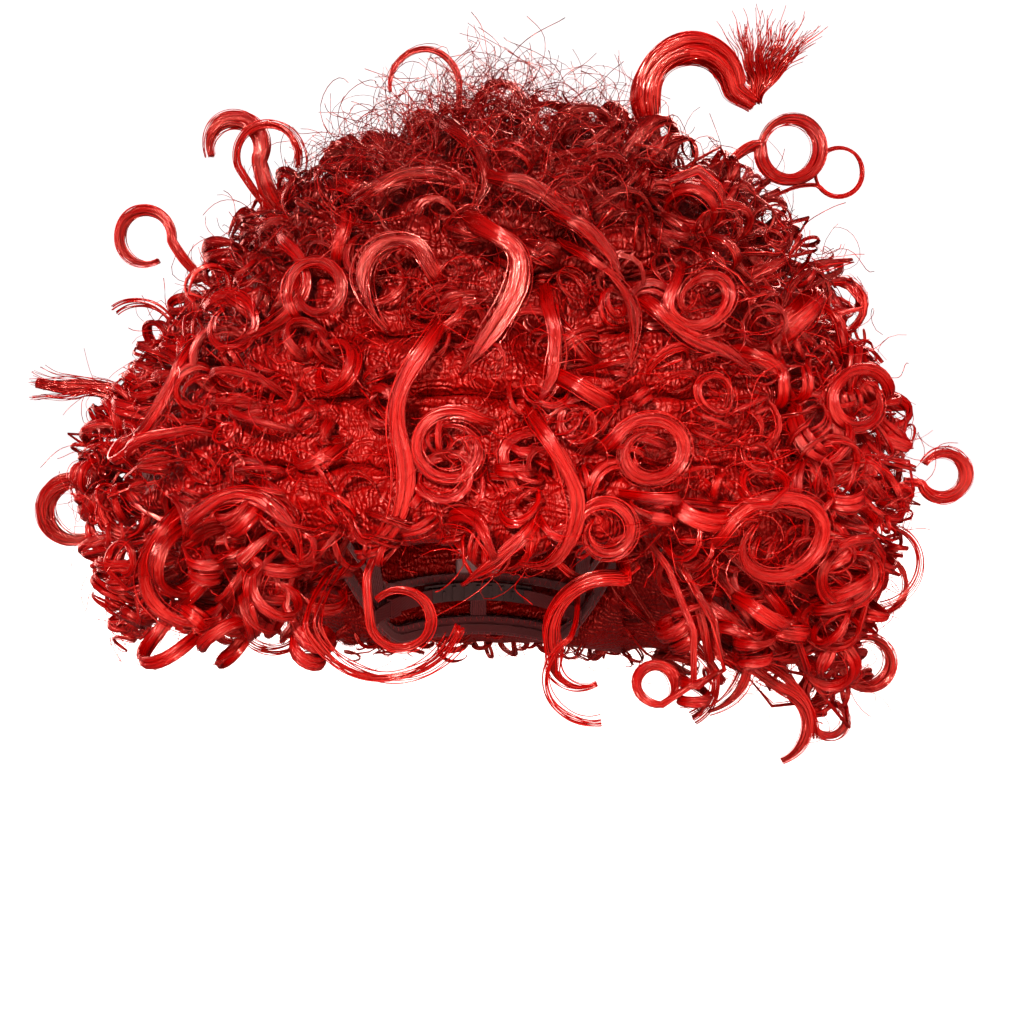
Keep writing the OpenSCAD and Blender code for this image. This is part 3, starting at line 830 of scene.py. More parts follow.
def make_locks(name, paths, ways, width, depth, tone, rng, finish, body="wig", plies=4, sides=6,
               strands=3, tip=0.22, splay=1.3, node=None):
    """Locks of hair. Each is one flattened tube, or a few plies that lie side by side and change
    places slowly, with some loose strands round it."""
    n, m = paths.shape[:2]
    t = np.linspace(0, 1, m)
    profile = lock_profile(m, tip) * (1 + 0.07 * np.sin(19 * t + tone[:, None] * 40))
    wide, deep = width[:, None] * profile, depth[:, None] * profile
    if plies > 1:
        whose, lines, way = companions(paths, ways, wide, deep, plies, (0.42, 0.62), 0.9, 0.3 * splay, rng)
        part = rng.uniform(0.42, 0.62, (len(whose), 1)) * mix(1, rng.uniform(0.5, 1, (len(whose), 1)), t**4)
    else:
        whose, lines, way, part = np.arange(n), paths, ways, 0.85
    seeds = np.stack([rng.uniform(0, 40, len(whose)), rng.uniform(0, 9, len(whose))], -1)
    shade = tone[whose] + rng.normal(0, 0.10, len(whose))
    core = tube_piece(name, lines, way, wide[whose] * part, deep[whose] * part * (1.2 if plies > 1 else 1),
                      sides, shade, finish["curl"], offset=seeds)
    stand_for(core, node, body)
    whose, lines, way = companions(paths, ways, wide, deep, strands, (0.85, 1.25), 1.2, splay, rng)
    count = len(whose)
    half = 0.26 * MM * mix(1, 0.5, t) * rng.uniform(0.7, 1.2, (count, 1))
    shade = np.clip(tone[whose] + rng.normal(0.05, 0.18, count), 0, 1.1)
    hairs = tube_piece(name + "_strands", lines, way, half, half, 3, shade, finish["strand"],
                       offset=np.stack([rng.uniform(0, 40, count), rng.uniform(0, 9, count)], -1))
    stand_for(hairs, None, body)


def scatter(rng, row, count, start, end):
    """Azimuths and shares in one row, spread evenly over the hair's outside."""
    phi = np.linspace(start, end, 400)
    share = np.full(400, (row - 0.5) / ROWS)
    girth = np.linalg.norm(np.gradient(hair_point(phi, share), axis=0), axis=-1)
    height = np.linalg.norm(hair_point(phi, share + 0.02) - hair_point(phi, share - 0.02), axis=-1)
    weight = np.cumsum(girth * height)
    weight = (weight - weight[0]) / (weight[-1] - weight[0])
    even = (np.arange(count) + rng.uniform(0.1, 0.9, count)) / count
    where = np.interp(even, weight, phi)
    shares = (row - 1 + (np.arange(count) * 0.618034 + rng.uniform(0, 0.12, count)) % 1.0) / ROWS
    return where, np.clip(shares, 0.004, 0.996)


def row_area(row):
    phi = np.linspace(0, TURN, 200)
    edges = [hair_point(phi, np.full(200, s / ROWS)) for s in (row - 1, row)]
    girth = sum(lengths_along(e[None])[0, -1] for e in edges) / 2
    return girth * np.linalg.norm(edges[1] - edges[0], axis=-1).mean()


def random_curls(name, row, phi, share, rng, finish, width, radius, turns, plies, sides, strands):
    """Curls of one row: each grows from its weft and winds up near the outside of the hair. Some lie
    like rings that face out, and the rest hang like ringlets. width, radius and turns are (low, high)."""
    count = len(phi)
    outside, inside = hair_point(phi, share), between(phi, share, np.zeros(count))
    out = unit(outside - inside)
    around = unit(hair_point(phi + 0.02, share) - hair_point(phi - 0.02, share))
    across = np.cross(out, around)
    down = -across * np.sign(across[:, 2:])
    size = rng.uniform(*radius, count) * MM
    facing = rng.random((count, 1)) < 0.4
    axes = unit(np.where(facing, out, down) + rng.normal(0, 0.5, (count, 3)))
    centres = outside - out * (size * rng.uniform(0.3, 1.5, count))[:, None]
    low = (share * ROWS < 0.6) & (np.cos(phi) < 0.5)
    centres[:, 2] -= np.where(low, 10 * MM, 1 * MM) * rng.uniform(0, 1, count)
    roots = cap_point(phi, share_rise(phi, np.full(count, (row - 0.5) / ROWS)), TRACK_OFF + TRACK_T)
    turn = rng.uniform(*turns, count) * np.where(rng.random(count) < 0.5, -1, 1)
    pitch = rng.uniform(0.6, 1.1, count) * size * np.sign(turn)
    paths = coil_paths(roots, out, centres, axes, size, turn, pitch, rng.uniform(0, TURN, count),
                       tighten=rng.uniform(0.05, 0.55, count))
    paths = paths + (ripple(paths, rng, 30 * MM) * 1.5 * MM)[..., None] * around[:, None]
    ways = np.broadcast_to(axes[:, None], paths.shape)
    wide = rng.uniform(*width, count) * MM
    thick, tone, free = wide * rng.uniform(0.35, 0.6, count), tones_with_painted_shade(centres, rng), keeps_clear(paths)
    make_locks(name, keep_inside(paths)[free], ways[free], wide[free], thick[free], tone[free], rng,
               finish, plies=plies, sides=sides, strands=strands)


def keeps_clear(paths):
    """Which paths stay out of the moving curls' room."""
    gaps = [np.linalg.norm(paths - np.array(c) * MM, axis=-1).min(1) - r * MM for c, r in MOVING_ROOM]
    return np.min(gaps, axis=0) > 0


def keep_inside(points, room=13 * MM):
    """Nothing reaches further than this outside the CAD model's box."""
    low, high = (np.array(c) for c in cad_box)
    return np.clip(points, low - room, high + room)


def make_hair(finish):
    rng = np.random.default_rng(7)
    areas = {row: row_area(row) for row in range(1, ROWS + 1)}
    share_of = {row: areas[row] / sum(areas.values()) for row in areas}
    for node, row in HAIR_BANDS:
        under_mass(node, row, finish, rng)
        part, start, end = 1.0, 0.0, TURN
        if row == 1:
            part, start, end = FRINGE_TO * 2 / TURN, -FRINGE_TO, FRINGE_TO
            if node != "fringe":
                part, start, end = 1 - part, FRINGE_TO, TURN - FRINGE_TO
        for kind, total, *sizes in CURL_KINDS:
            count = max(3, int(total * share_of[row] * part))
            phi, share = scatter(rng, row, count, start, end)
            random_curls(f"{node}_{kind}", row, phi, share, rng, finish, *sizes)


def make_rim_curls(finish):
    """Curls along the hair's lower rim, from the cap outwards, so that it looks as full from below."""
    rng = np.random.default_rng(17)
    n = 130
    phi = (np.arange(n) + rng.uniform(0, 1, n)) / n * TURN
    share = rng.uniform(0.0, 0.03, n)
    out = unit(hair_point(phi, share) - between(phi, share, np.zeros(n)))
    centres = between(phi, share, rng.uniform(0.05, 0.9, n)) + UP * (rng.uniform(-5, 5, n) * MM)[:, None]
    roots = cap_point(phi, share_rise(phi, np.full(n, 0.5 / ROWS)), TRACK_OFF + TRACK_T)
    size = rng.uniform(4, 8, n) * MM
    axes = unit(rng.normal(0, 0.6, (n, 3)) - UP)
    turn = rng.uniform(1, 1.8, n)
    paths = coil_paths(roots, unit(out - 0.8 * UP), centres, axes, size, turn, size * 0.9,
                       rng.uniform(0, TURN, n), tighten=rng.uniform(0.1, 0.5, n))
    wide = rng.uniform(1.1, 2.0, n) * MM
    make_locks("rim_curls", paths, np.broadcast_to(axes[:, None], paths.shape), wide, wide * 0.5,
               tones_with_painted_shade(centres, rng), rng, finish, plies=2, sides=5, strands=1)


def make_cheek_curls(finish):
    """Curls that hang beside the face, lower than the fringe, between the brow and the ears."""
    rng = np.random.default_rng(19)
    n = 64
    side = np.where(np.arange(n) % 2, 1, -1)
    turned = np.radians(rng.uniform(24, 64, n))
    phi = side * turned
    share = rng.uniform(0.0, 0.09, n)
    along = rng.uniform(0.15, 1.0, n)
    centres = between(phi, share, along)
    bottom = mix(RIGHT_Z, LEFT_Z, side > 0) * CHEEK_SHARE
    centres[:, 2] = mix(bottom, 16 * MM, rng.uniform(0, 1, n))
    keep = np.maximum(50 * MM - np.abs(centres[:, 0]), 0) * (centres[:, 2] < 12 * MM)
    centres[:, 0] += side * keep
    roots = cap_point(phi, share_rise(phi, np.full(n, 0.5 / ROWS)), TRACK_OFF + TRACK_T)
    out = unit(hair_point(phi, share) - between(phi, share, np.zeros(n)))
    size = rng.uniform(5, 11, n) * MM
    axes = unit(rng.normal(0, 0.5, (n, 3)) - UP)
    turn = rng.uniform(1, 1.8, n) * side
    paths = coil_paths(roots, out, centres, axes, size, turn, size * rng.uniform(0.8, 1.3, n) * side,
                       rng.uniform(0, TURN, n), tighten=rng.uniform(0.1, 0.5, n))
    wide = rng.uniform(1.5, 3.0, n) * MM
    ways, tone, free = np.broadcast_to(axes[:, None], paths.shape), tones_with_painted_shade(centres, rng), keeps_clear(paths)
    make_locks("cheek_curls", paths[free], ways[free], wide[free], wide[free] * 0.5, tone[free], rng,
               finish, plies=4, sides=6, strands=2)


def filaments(name, starts, ways, lengths, curl, rng, finish, half=0.15 * MM, m=13):
    """Loose filaments: each runs on along its way while it winds in a loose loop of radius curl."""
    n = len(starts)
    t = np.linspace(0, 1, m)
    a = unit(np.cross(ways, rng.normal(size=(n, 3))))
    b = np.cross(ways, a)
    turns = rng.uniform(0.3, 1.3, (n, 1)) * np.where(rng.random((n, 1)) < 0.5, -1, 1)
    phase = rng.uniform(0, TURN, (n, 1))
    size = curl[:, None] * mix(1.0, rng.uniform(0.4, 1.2, (n, 1)), t)
    x = size * (np.cos(TURN * turns * t + phase) - np.cos(phase))
    y = size * (np.sin(TURN * turns * t + phase) - np.sin(phase))
    crinkle = 0.3 * MM * np.sin(TURN * rng.uniform(1.5, 2.5, (n, 1)) * t + phase)
    paths = (starts[:, None] + (lengths[:, None] * t)[..., None] * ways[:, None]
             + (x + crinkle)[..., None] * a[:, None] + (y + crinkle)[..., None] * b[:, None])
    thick = np.full((n, m), half) * rng.uniform(0.7, 1.2, (n, 1))
    way = np.broadcast_to(UP + 0.1, paths.shape)
    tone, free = tones_with_painted_shade(starts, rng, 0.2), keeps_clear(paths)
    piece = tube_piece(name, keep_inside(paths)[free], way[free], thick[free], thick[free], 3, tone[free],
                       finish["strand"])
    stand_for(piece, None)


def make_frizz(finish):
    """Stray filaments: a web among and over the curls, and a cloud that stands up on the crown."""
    rng = np.random.default_rng(11)
    batches = 4
    for batch in range(batches):
        n = FRIZZ // batches
        phi = rng.uniform(0, TURN, n)
        share = rng.random(n) ** 1.3
        start = between(phi, share, rng.uniform(0.72, 1.0, n))
        out = unit(hair_point(phi, share) - between(phi, share, np.zeros(n)))
        way = unit(out * rng.uniform(-0.1, 0.35, (n, 1)) + rng.normal(0, 0.6, (n, 3)))
        filaments(f"stray_filaments_{batch + 1}", start, way, rng.uniform(4, 26, n) * MM,
                  rng.uniform(2, 8, n) * MM, rng, finish)
    n = CLOUD
    phi = rng.uniform(0, TURN, n)
    share = 1 - 0.5 * rng.random(n) ** 0.8
    start = between(phi, share, rng.uniform(0.9, 1.0, n))
    start[:, 0] = mix(start[:, 0], 5 * MM, 0.25)
    way = unit(UP * 0.7 + rng.normal(0, 0.55, (n, 3)))
    filaments("crown_filaments", start, way, rng.uniform(8, 30, n) * MM, rng.uniform(4, 12, n) * MM, rng,
              finish, 0.14 * MM, 17)


# ---------------------------------------------------------------- free curls

def arc_points(middle, radius, start, end, count=24, tilt=0.0):
    """A stretch of a ring in the plane that faces the front: angles run from +X towards +Z."""
    a = np.radians(np.linspace(start, end, count))
    return np.asarray(middle) + radius * np.stack([np.cos(a), tilt * np.sin(a), np.sin(a)], -1)


def smooth_path(points, count):
    """A smooth line through a few points: its corners are cut five times, then it is spaced evenly."""
    points = np.asarray(points, float)
    for _ in range(5):
        early, late = mix(points[:-1], points[1:], 0.25), mix(points[:-1], points[1:], 0.75)
        middle = np.stack([early, late], 1).reshape(-1, 3)
        points = np.concatenate([points[:1], middle[1:-1], points[-1:]])
    run = lengths_along(points[None])[0]
    at = np.linspace(0, run[-1], count)
    return np.stack([np.interp(at, run, points[:, i]) for i in range(3)], -1)


def single_lock(name, points, width, depth, tone, body, rng, finish, strands=10, tip=0.25, count=80,
                splay=0.9, plies=5, way=(0.0, 1.0, 0.0), node=None):
    path = smooth_path(points, count)[None]
    ways = np.broadcast_to(np.asarray(way, float), path.shape)
    make_locks(name, path, ways, np.array([width]), np.array([depth]), np.array([tone]), rng, finish,
               body, plies, 6, strands, tip, splay, node)


def front_depth(spots):
    """The y of the hair's outside at places (x, z), from the nearest point of a fine grid."""
    phi, share = np.meshgrid(np.linspace(-1.7, 1.7, 260), np.linspace(0, 1, 180))
    grid = hair_point(phi, share).reshape(-1, 3)
    away = ((spots[:, None] - grid[None][..., [0, 2]]) ** 2).sum(-1)
    return grid[away.argmin(1), 1]


# Big locks on the front: half width, then the places (x, z) in mm that each runs through.
FRONT_LOCKS = [
    (3.2, [(-14, 104), (-20, 114), (-31, 113), (-37, 103), (-33, 92), (-28, 86)]),
    (2.4, [(-62, 112), (-56, 107), (-54, 98), (-62, 89), (-73, 83), (-82, 80)]),
    (1.4, [(34, 108), (42, 103), (48, 94), (48, 82), (45, 74)]),
    (4.2, [(4, 116), (12, 111), (12, 102), (8, 93), (0, 82), (-6, 74)]),
    (3.0, [(-8, 148), (0, 142), (3, 132), (-2, 122)]),
    (3.0, [(-36, 128), (-24, 134), (-12, 134), (0, 129)]),
    (3.0, [(8, 132), (16, 130), (25, 124), (33, 116)]),
    (2.8, [(28, 120), (35, 116), (42, 109), (44, 100)]),
    (3.4, [(-15, 84), (-22, 74), (-25, 62), (-21, 48), (-22, 36), (-28, 26), (-36, 25), (-39, 33)]),
    (3.2, [(20, 58), (26, 50), (30, 38), (27, 26), (20, 19), (12, 20)]),
    (2.6, [(14, 30), (8, 24), (2, 19), (-5, 13)]),
    (3.0, [(22, 92), (24, 82), (21, 70), (16, 64)]),
    (3.0, [(-100, 72), (-106, 60), (-112, 50), (-122, 47)]),
    (2.8, [(56, 92), (66, 84), (78, 80), (88, 72)]),
    (3.2, [(-88, 30), (-78, 38), (-66, 38), (-56, 28), (-55, 16)]),
    (3.0, [(-104, 20), (-112, 8), (-110, -6), (-98, -14), (-86, -10)]),
]
# Rings on the front: half width, middle (x, z), radius, start angle and sweep in degrees.
FRONT_RINGS = [
    (2.2, (-51, 98), 8, 200, -420), (2.6, (70, 96), 9, 120, 460), (2.4, (-8, 54), 9, 60, 430),
    (2.6, (52, 52), 9, 150, -450), (3.2, (94, 22), 14, 160, -400), (2.8, (126, 4), 10, 40, 400),
    (2.6, (130, 60), 10, 20, 420), (2.2, (-82, 86), 8, 100, -380), (2.2, (38, 30), 7, 200, -400),
]


def make_front_locks(finish):
    """The big locks and rings that lie on the front of the hair, each rooted a little inside it."""
    rng = np.random.default_rng(41)
    lines, widths = [], []
    for half, places in FRONT_LOCKS:
        lines.append(np.array(places) * MM)
        widths.append(half)
    for half, middle, radius, start, sweep in FRONT_RINGS:
        a = np.radians(start + sweep * np.linspace(0, 1, 30))
        shrink = np.linspace(1.35, 0.75, 30)
        ring = np.stack([np.cos(a), rng.uniform(0.75, 1) * np.sin(a)], -1) * (radius * shrink)[:, None]
        tilt = rng.uniform(-0.6, 0.6)
        ring = ring @ np.array([[math.cos(tilt), math.sin(tilt)], [-math.sin(tilt), math.cos(tilt)]])
        lines.append((np.array(middle) + ring) * MM)
        widths.append(half)
    paths = []
    for line, half in zip(lines, widths):
        middle = line.mean(0, keepdims=True)
        own = front_depth(line)
        y = mix(own, front_depth(middle), 0.5) - half * 0.5 * MM
        path = np.stack([line[:, 0], y, line[:, 1]], -1)
        heading = unit(path[0] - path[1])
        deep = [path[0] + heading * 10 * MM + [0, 22 * MM, 0], path[0] + heading * 5 * MM + [0, 5 * MM, 0]]
        path[-1] += [0, 3 * MM, 0]
        paths.append(smooth_path(np.concatenate([deep, path]), 50))
    paths, wide = np.array(paths), np.array(widths) * MM
    ways = np.broadcast_to([0.0, 0.3, 0.0], paths.shape) + unit(np.cross(unit(np.gradient(paths, axis=1)),
                                                                    [0.0, 1.0, 0.0]))
    wide = wide * 0.75
    make_locks("front_locks", keep_inside(paths), ways, wide, wide * 0.5, tones_with_painted_shade(paths[:, 30], rng, 0.08),
               rng, finish, plies=5, sides=6, strands=6, tip=0.15)


def make_free_curls(finish):
    rng = np.random.default_rng(23)
    right_root, left_root = np.array([-29, -101, 21]) * MM, np.array([45, -98, 20]) * MM
    ring = right_root + np.array([4.6, -13, -22.5]) * MM
    ring_r = 9.7 * MM
    stem = [right_root + [4 * MM, 5 * MM, 7 * MM], right_root, ring + np.array([-10.6, 4, 15]) * MM,
            ring + np.array([-10.3, 1, 7]) * MM]
    single_lock("right_face_ringlet_lock", np.concatenate([stem, arc_points(ring, ring_r, 180, 500)]),
                1.7 * MM, 1.3 * MM, 0.8, "right_face_ringlet", rng, finish, 9, 0.4, 110, 0.5,
                node="right_face_ringlet")
    upper = left_root + np.array([-4, -16, -26]) * MM
    lower = upper + np.array([-8, 0, -9]) * MM
    path = np.concatenate([[left_root + [0, 6 * MM, 6 * MM], left_root],
                           arc_points(upper, 18 * MM, 75, 200), arc_points(lower, 9.5 * MM, 195, 300)])
    single_lock("left_face_ringlet_lock", path, 3.0 * MM, 1.7 * MM, 0.8, "left_face_ringlet", rng,
                finish, 22, 0.12, 110, 1.6, node="left_face_ringlet")
    make_top_curl(rng, finish)
    ring = arc_points(np.array([187, -4, 20]) * MM, 9 * MM, 200, 510, 40, 0.15)
    single_lock("side_curl_lock", np.concatenate([[[0.172, -0.002, 0.017]], ring]), 2.8 * MM, 2.1 * MM,
                0.7, "side_curl", rng, finish, 16, 0.5, 90, 0.3, node="side_curl")


def make_top_curl(rng, finish):
    """The big smooth curl: a thick lock over the top, pinched, and a fan of strands beyond the pinch."""
    middle = np.array([78, -6, 164]) * MM
    r = 16.5 * MM
    path = np.concatenate([[middle + [-0.012, 0, -0.022]], arc_points(middle, r, 190, 6, 30),
                           [middle + [0.024, 0, -0.003]]])
    single_lock("top_curl_lock", path, 6.8 * MM, 4.8 * MM, 0.55, "top_curl", rng, finish, 44, 0.5, 64,
                0.2, 14, node="top_curl")
    n, m = 150, 22
    foot = middle + [r + 9 * MM, 0, -1 * MM]
    t = np.linspace(0, 1, m)[None, :, None]
    fan = np.stack([rng.uniform(-0.55, 0.75, n), rng.uniform(-0.45, 0.45, n), np.ones(n)], -1)
    reach = rng.uniform(20, 33, n)[:, None, None] * MM
    start = foot + rng.normal(0, 0.9, (n, 3)) * MM
    sag = np.array([1.0, 0.0, -0.6]) * (rng.uniform(-3, 8, n)[:, None, None] * MM) * t**2
    paths = start[:, None] + unit(fan)[:, None] * reach * t + sag
    paths = paths + (ripple(paths, rng, 14 * MM) * 0.8 * MM)[..., None] * [1.0, 0.3, 0.0]
    half = np.full((n, m), 0.32 * MM) * mix(1.2, 0.4, t[0, :, 0])
    way = np.broadcast_to([0.0, 1.0, 0.0], paths.shape)
    tone = np.clip(rng.normal(0.45, 0.2, n), 0, 1)
    piece = tube_piece("top_curl_brush_strands", keep_inside(paths), way, half, half * 0.8, 4, tone,
                       finish["strand"])
    stand_for(piece, "top_curl_brush", "top_curl")


# Rings and hooks at the hair's outline: node, middle in mm, radius, half width, start and end angle.
OUTLINE_CURLS = [
    ("crown_ring_curls", (117, -4, 145), 11, 2.8, -190, 170),
    ("crown_ring_curls", (137, 0, 137), 9, 0.8, -150, 230),
    ("crown_ring_curls", (-20, 0, 168), 13, 1.3, -10, 190),
    ("crown_ring_curls", (-91, -4, 146), 10, 3.6, -30, 200),
    ("crown_ring_curls", (-128, 0, 113), 10, 2.4, -10, 300),
    ("hook_curl", (-163, -6, 6), 12, 3.9, 20, 300),
    ("low_ring_curls", (160, -12, -57), 10, 2.6, -200, 160),
    ("low_ring_curls", (146, -14, -82), 7, 1.8, -190, 170),
    ("low_ring_curls", (163, -8, -25), 12, 1.2, -110, 110),
    ("hanging_lock", (76, -78, -30), 18, 3.0, 60, -75),
    ("hanging_lock", (108, -62, -62), 14, 2.4, 70, -70),
]


def make_outline_curls(finish):
    """The curls at the outline. Each also has a stem that runs back into the hair."""
    rng = np.random.default_rng(31)
    done = set()
    for number, (node, middle, radius, half, start, end) in enumerate(OUTLINE_CURLS, 1):
        middle = np.array(middle) * MM
        ring = arc_points(middle, radius * MM, start, end, 40, 0.2)
        inward = unit(HAIR_MID - ring[0])
        heading = unit(ring[0] - ring[1])
        stem = [ring[0] + heading * 8 * MM + inward * 26 * MM, ring[0] + heading * 6 * MM + inward * 9 * MM]
        single_lock(f"{node}_{number:02d}", np.concatenate([stem, ring]), half * MM, half * 0.75 * MM,
                    0.55, "wig", rng, finish, 6 + int(half * 4), 0.4, 56, 0.6,
                    node=None if node in done else node)
        done.add(node)
    brush = np.array([[-130, -8, 50], [-150, -8, 57], [-163, -8, 56], [-172, -8, 58]]) * MM
    single_lock("brush_lock_lock", brush, 3.4 * MM, 2.6 * MM, 0.5, "wig", rng, finish, 36, 0.8, 30, 2.0,
                node="brush_lock")


# Loose bundles: strands, how far apart they lie in mm, middle, radius, start and end angle of the arc.
LOOSE_BUNDLES = [
    (16, 0.9, (-30, -115, 5), 26, 200, 340),
    (7, 2.2, (-28, -115, 3), 23, 195, 330),
    (14, 1.2, (-130, -10, 75), 14, 30, 130),
    (10, 1.5, (-140, -20, 30), 15, 40, 140),
    (16, 1.3, (-75, -60, -20), 13, 140, 310),
    (12, 1.3, (-108, -45, -18), 12, 150, 310),
    (22, 1.3, (70, -72, -42), 15, 80, -60),
    (22, 1.3, (92, -58, -72), 35, 85, 5),
    (12, 1.2, (160, -15, -15), 17, 80, -80),
    (10, 1.4, (38, -108, 25), 16, 220, 320),
    (9, 1.0, (36, -122, -18), 15, 120, 280),
    (20, 1.3, (-78, -8, 142), 12, 200, -20),
]


def make_loose_bundles(finish):
    """Thin bundles of a few strands that hang or stand free of the hair, each rooted inside it."""
    rng = np.random.default_rng(53)
    paths, apart, copies = [], [], []
    for count, spread, middle, radius, start, end in LOOSE_BUNDLES:
        arc = arc_points(np.array(middle) * MM, radius * MM, start, end)
        heading = unit(arc[0] - arc[1])
        inward = unit(HAIR_MID - arc[0])
        deep = [arc[0] + (heading * 8 + inward * 22) * MM, arc[0] + (heading * 5 + inward * 8) * MM]
        paths.append(smooth_path(np.concatenate([deep, arc]), 48))
        apart.append(spread * MM)
        copies.append(count)
    copies = np.array(copies)
    paths = np.repeat(np.array(paths), copies, axis=0)
    apart = np.repeat(np.array(apart), copies)[:, None] * np.ones(48)
    ways = np.broadcast_to([0.0, 1.0, 0.0], paths.shape)
    whose, lines, way = companions(paths, ways, apart, apart, 1, (0.2, 1.1), 1.6, 1.2, rng)
    half = np.full(lines.shape[:2], 0.2 * MM) * rng.uniform(0.8, 1.3, (len(whose), 1))
    tone = np.clip(rng.normal(0.6, 0.2, len(whose)), 0, 1)
    piece = tube_piece("loose_bundles", lines, way, half, half, 3, tone, finish["strand"])
    stand_for(piece, None)


# ---------------------------------------------------------------- adjusters, camera and lights

CAD_FINISHES = {
    "loop_tape": "tape", "left_strap": "elastic_plain", "right_strap": "elastic_plain",
    "left_hook": "plastic", "right_hook": "plastic", "left_keeper": "band_plain",
    "right_keeper": "band_plain",
}


def finish_adjusters(finish):
    """The adjusters keep their CAD shapes and get the real finishes."""
    for node, kind in CAD_FINISHES.items():
        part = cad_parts[node]
        part.data.materials.clear()
        part.data.materials.append(finish[kind])


def solid_weave(name, dark, light, pitch=0.8 * MM):
    """A woven finish for shapes with no map: a check on the object's own X and Z."""
    s = Shader(name)
    place = s.object_place()
    weave = (s.axis(place, 0) * (TURN / pitch)).sine() * (s.axis(place, 2) * (TURN / pitch)).sine()
    slub = s.noise(place, 500.0, 3.0)
    return s.finish(
        Base_Color=s.blend((weave * 0.3 + slub * 0.8).clamp(), dark, light),
        Roughness=(0.6 + slub * 0.2).clamp(),
        Normal=s.bump(weave + slub, 0.6, 0.2 * MM),
    )


def make_finishes():
    wine, ruby = colour(0.035, 0.002, 0.003), colour(0.12, 0.004, 0.007)
    return {
        "curl": curl_filament("curl_filament", colour(0.06, 0.0, 0.0), colour(0.21, 0.0, 0.0)),
        "strand": curl_filament("loose_filament", colour(0.08, 0.0, 0.0), colour(0.29, 0.0, 0.0),
                                0.18, 2.0, 0.05 * MM),
        "under": under_hair("under_hair"),
        "net": knit_net("stretch_net"),
        "band": woven_band("woven_band", wine, ruby),
        "elastic": ribbed_elastic("ribbed_elastic", colour(0.02, 0.002, 0.003), colour(0.09, 0.006, 0.009)),
        "weft": woven_band("weft_band", colour(0.03, 0.001, 0.002), colour(0.11, 0.003, 0.005), 1.0 * MM),
        "thread": polished_thread("sewing_thread", colour(0.25, 0.008, 0.014), colour(0.50, 0.02, 0.03)),
        "tape": solid_weave("loop_tape_weave", colour(0.012, 0.010, 0.010), colour(0.05, 0.045, 0.045)),
        "elastic_plain": solid_weave("strap_weave", colour(0.03, 0.003, 0.004), colour(0.11, 0.01, 0.012)),
        "band_plain": solid_weave("sleeve_weave", wine, ruby),
        "plastic": moulded_plastic("hook_plastic"),
        "label": label_satin("label_satin"),
    }


def make_camera():
    """A camera 45 cm in front of the head's middle and 12 cm above the brow, aimed a little down."""
    data = bpy.data.cameras.new("camera")
    data.sensor_width = 36.0
    data.lens = 39.9
    data.shift_x = 0.033
    camera = bpy.data.objects.new("camera", data)
    camera.location = (0.0, -0.45, 0.12)
    camera.rotation_euler = (math.radians(90 - 14.5), 0.0, 0.0)
    data.clip_start = 0.01
    bpy.context.scene.collection.objects.link(camera)
    bpy.context.scene.camera = camera


def area_light(name, place, aim, size, power, tint=(1.0, 1.0, 1.0)):
    data = bpy.data.lights.new(name, "AREA")
    data.size, data.energy, data.color = size, power, tint
    light = bpy.data.objects.new(name, data)
    way = np.asarray(aim, float) - np.asarray(place, float)
    light.location = place
    light.rotation_euler = (
        math.atan2(math.hypot(way[0], way[1]), -way[2]), 0.0, math.atan2(-way[0], way[1]))
    bpy.context.scene.collection.objects.link(light)


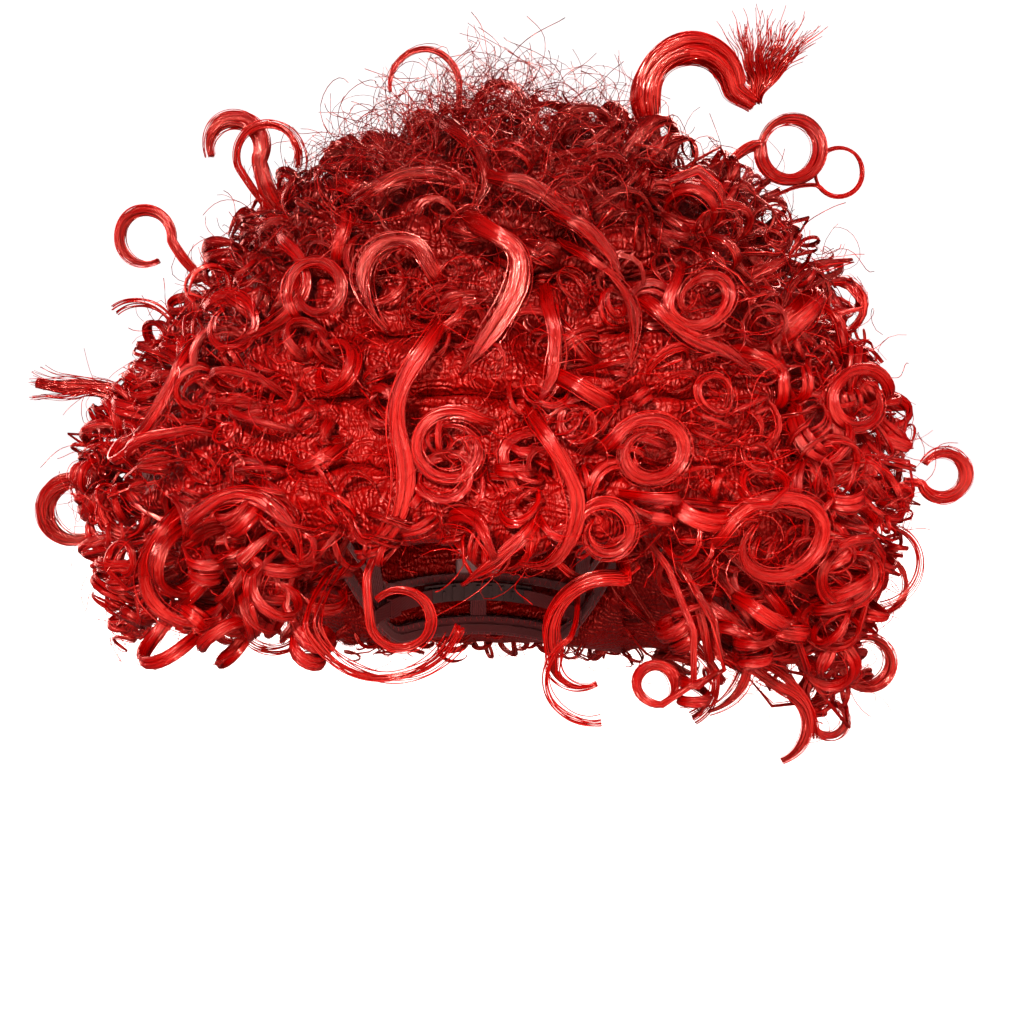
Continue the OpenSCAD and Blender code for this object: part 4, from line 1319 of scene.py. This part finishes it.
def make_studio():
    """A pale floor that curves up behind into a wall, an even pale surround and soft lights."""
    across = np.linspace(-5, 5, 3)
    bend = np.linspace(0, TURN / 4, 17)
    flat = np.array([[-5.0, -0.27]])
    curve = np.stack([1.5 + 1.2 * np.sin(bend), 0.93 - 1.2 * np.cos(bend)], -1)
    profile = np.concatenate([flat, curve, [[2.7, 5.0]]])
    x, step = np.meshgrid(across, np.arange(len(profile)), indexing="ij")
    points = np.stack([x, profile[step, 0], profile[step, 1]], -1).reshape(-1, 3)
    i, j = np.meshgrid(np.arange(2), np.arange(len(profile) - 1), indexing="ij")
    corner = (i * len(profile) + j).ravel()
    quads = np.stack([corner, corner + len(profile), corner + len(profile) + 1, corner + 1], -1)
    floor = make_mesh("floor", points, [quads], points[:, :2], np.zeros(len(points)),
                      pale_floor("pale_floor"))
    world = bpy.data.worlds.new("studio")
    world.use_nodes = True
    tree = world.node_tree
    seen = tree.nodes.new("ShaderNodeLightPath")
    shown = tree.nodes.new("ShaderNodeBackground")
    shown.inputs["Color"].default_value = colour(0.96, 0.96, 0.97)
    soft = tree.nodes["Background"]
    soft.inputs["Color"].default_value = colour(0.9, 0.93, 1.0)
    soft.inputs["Strength"].default_value = 0.16
    both = tree.nodes.new("ShaderNodeMixShader")
    tree.links.new(seen.outputs["Is Camera Ray"], both.inputs[0])
    tree.links.new(soft.outputs[0], both.inputs[1])
    tree.links.new(shown.outputs[0], both.inputs[2])
    tree.links.new(both.outputs[0], tree.nodes["World Output"].inputs["Surface"])
    bpy.context.scene.world = world
    middle = (0.0, 0.0, 0.04)
    area_light("front_key", (-0.22, -0.95, 0.60), middle, 0.08, 31.0)
    warm = (1.0, 0.5, 0.45)
    area_light("right_fill", (0.9, -0.7, 0.15), middle, 0.6, 11.0, warm)
    area_light("low_front", (0.05, -0.9, -0.1), middle, 0.6, 12.0, warm)
    area_light("back_rim", (0.35, 0.95, 0.45), middle, 0.5, 14.0, warm)
    area_light("back_fill", (-0.8, 0.7, 0.1), middle, 0.5, 10.0, warm)
    view = bpy.context.scene.view_settings
    view.view_transform = "Standard"
    view.look = "None"


def main():
    make_camera()
    finish = make_finishes()
    make_cap(finish)
    make_weft_tracks(finish)
    make_label(finish)
    finish_adjusters(finish)
    make_hair(finish)
    make_rim_curls(finish)
    make_cheek_curls(finish)
    make_front_locks(finish)
    make_free_curls(finish)
    make_outline_curls(finish)
    make_loose_bundles(finish)
    make_frizz(finish)
    make_studio()


main()
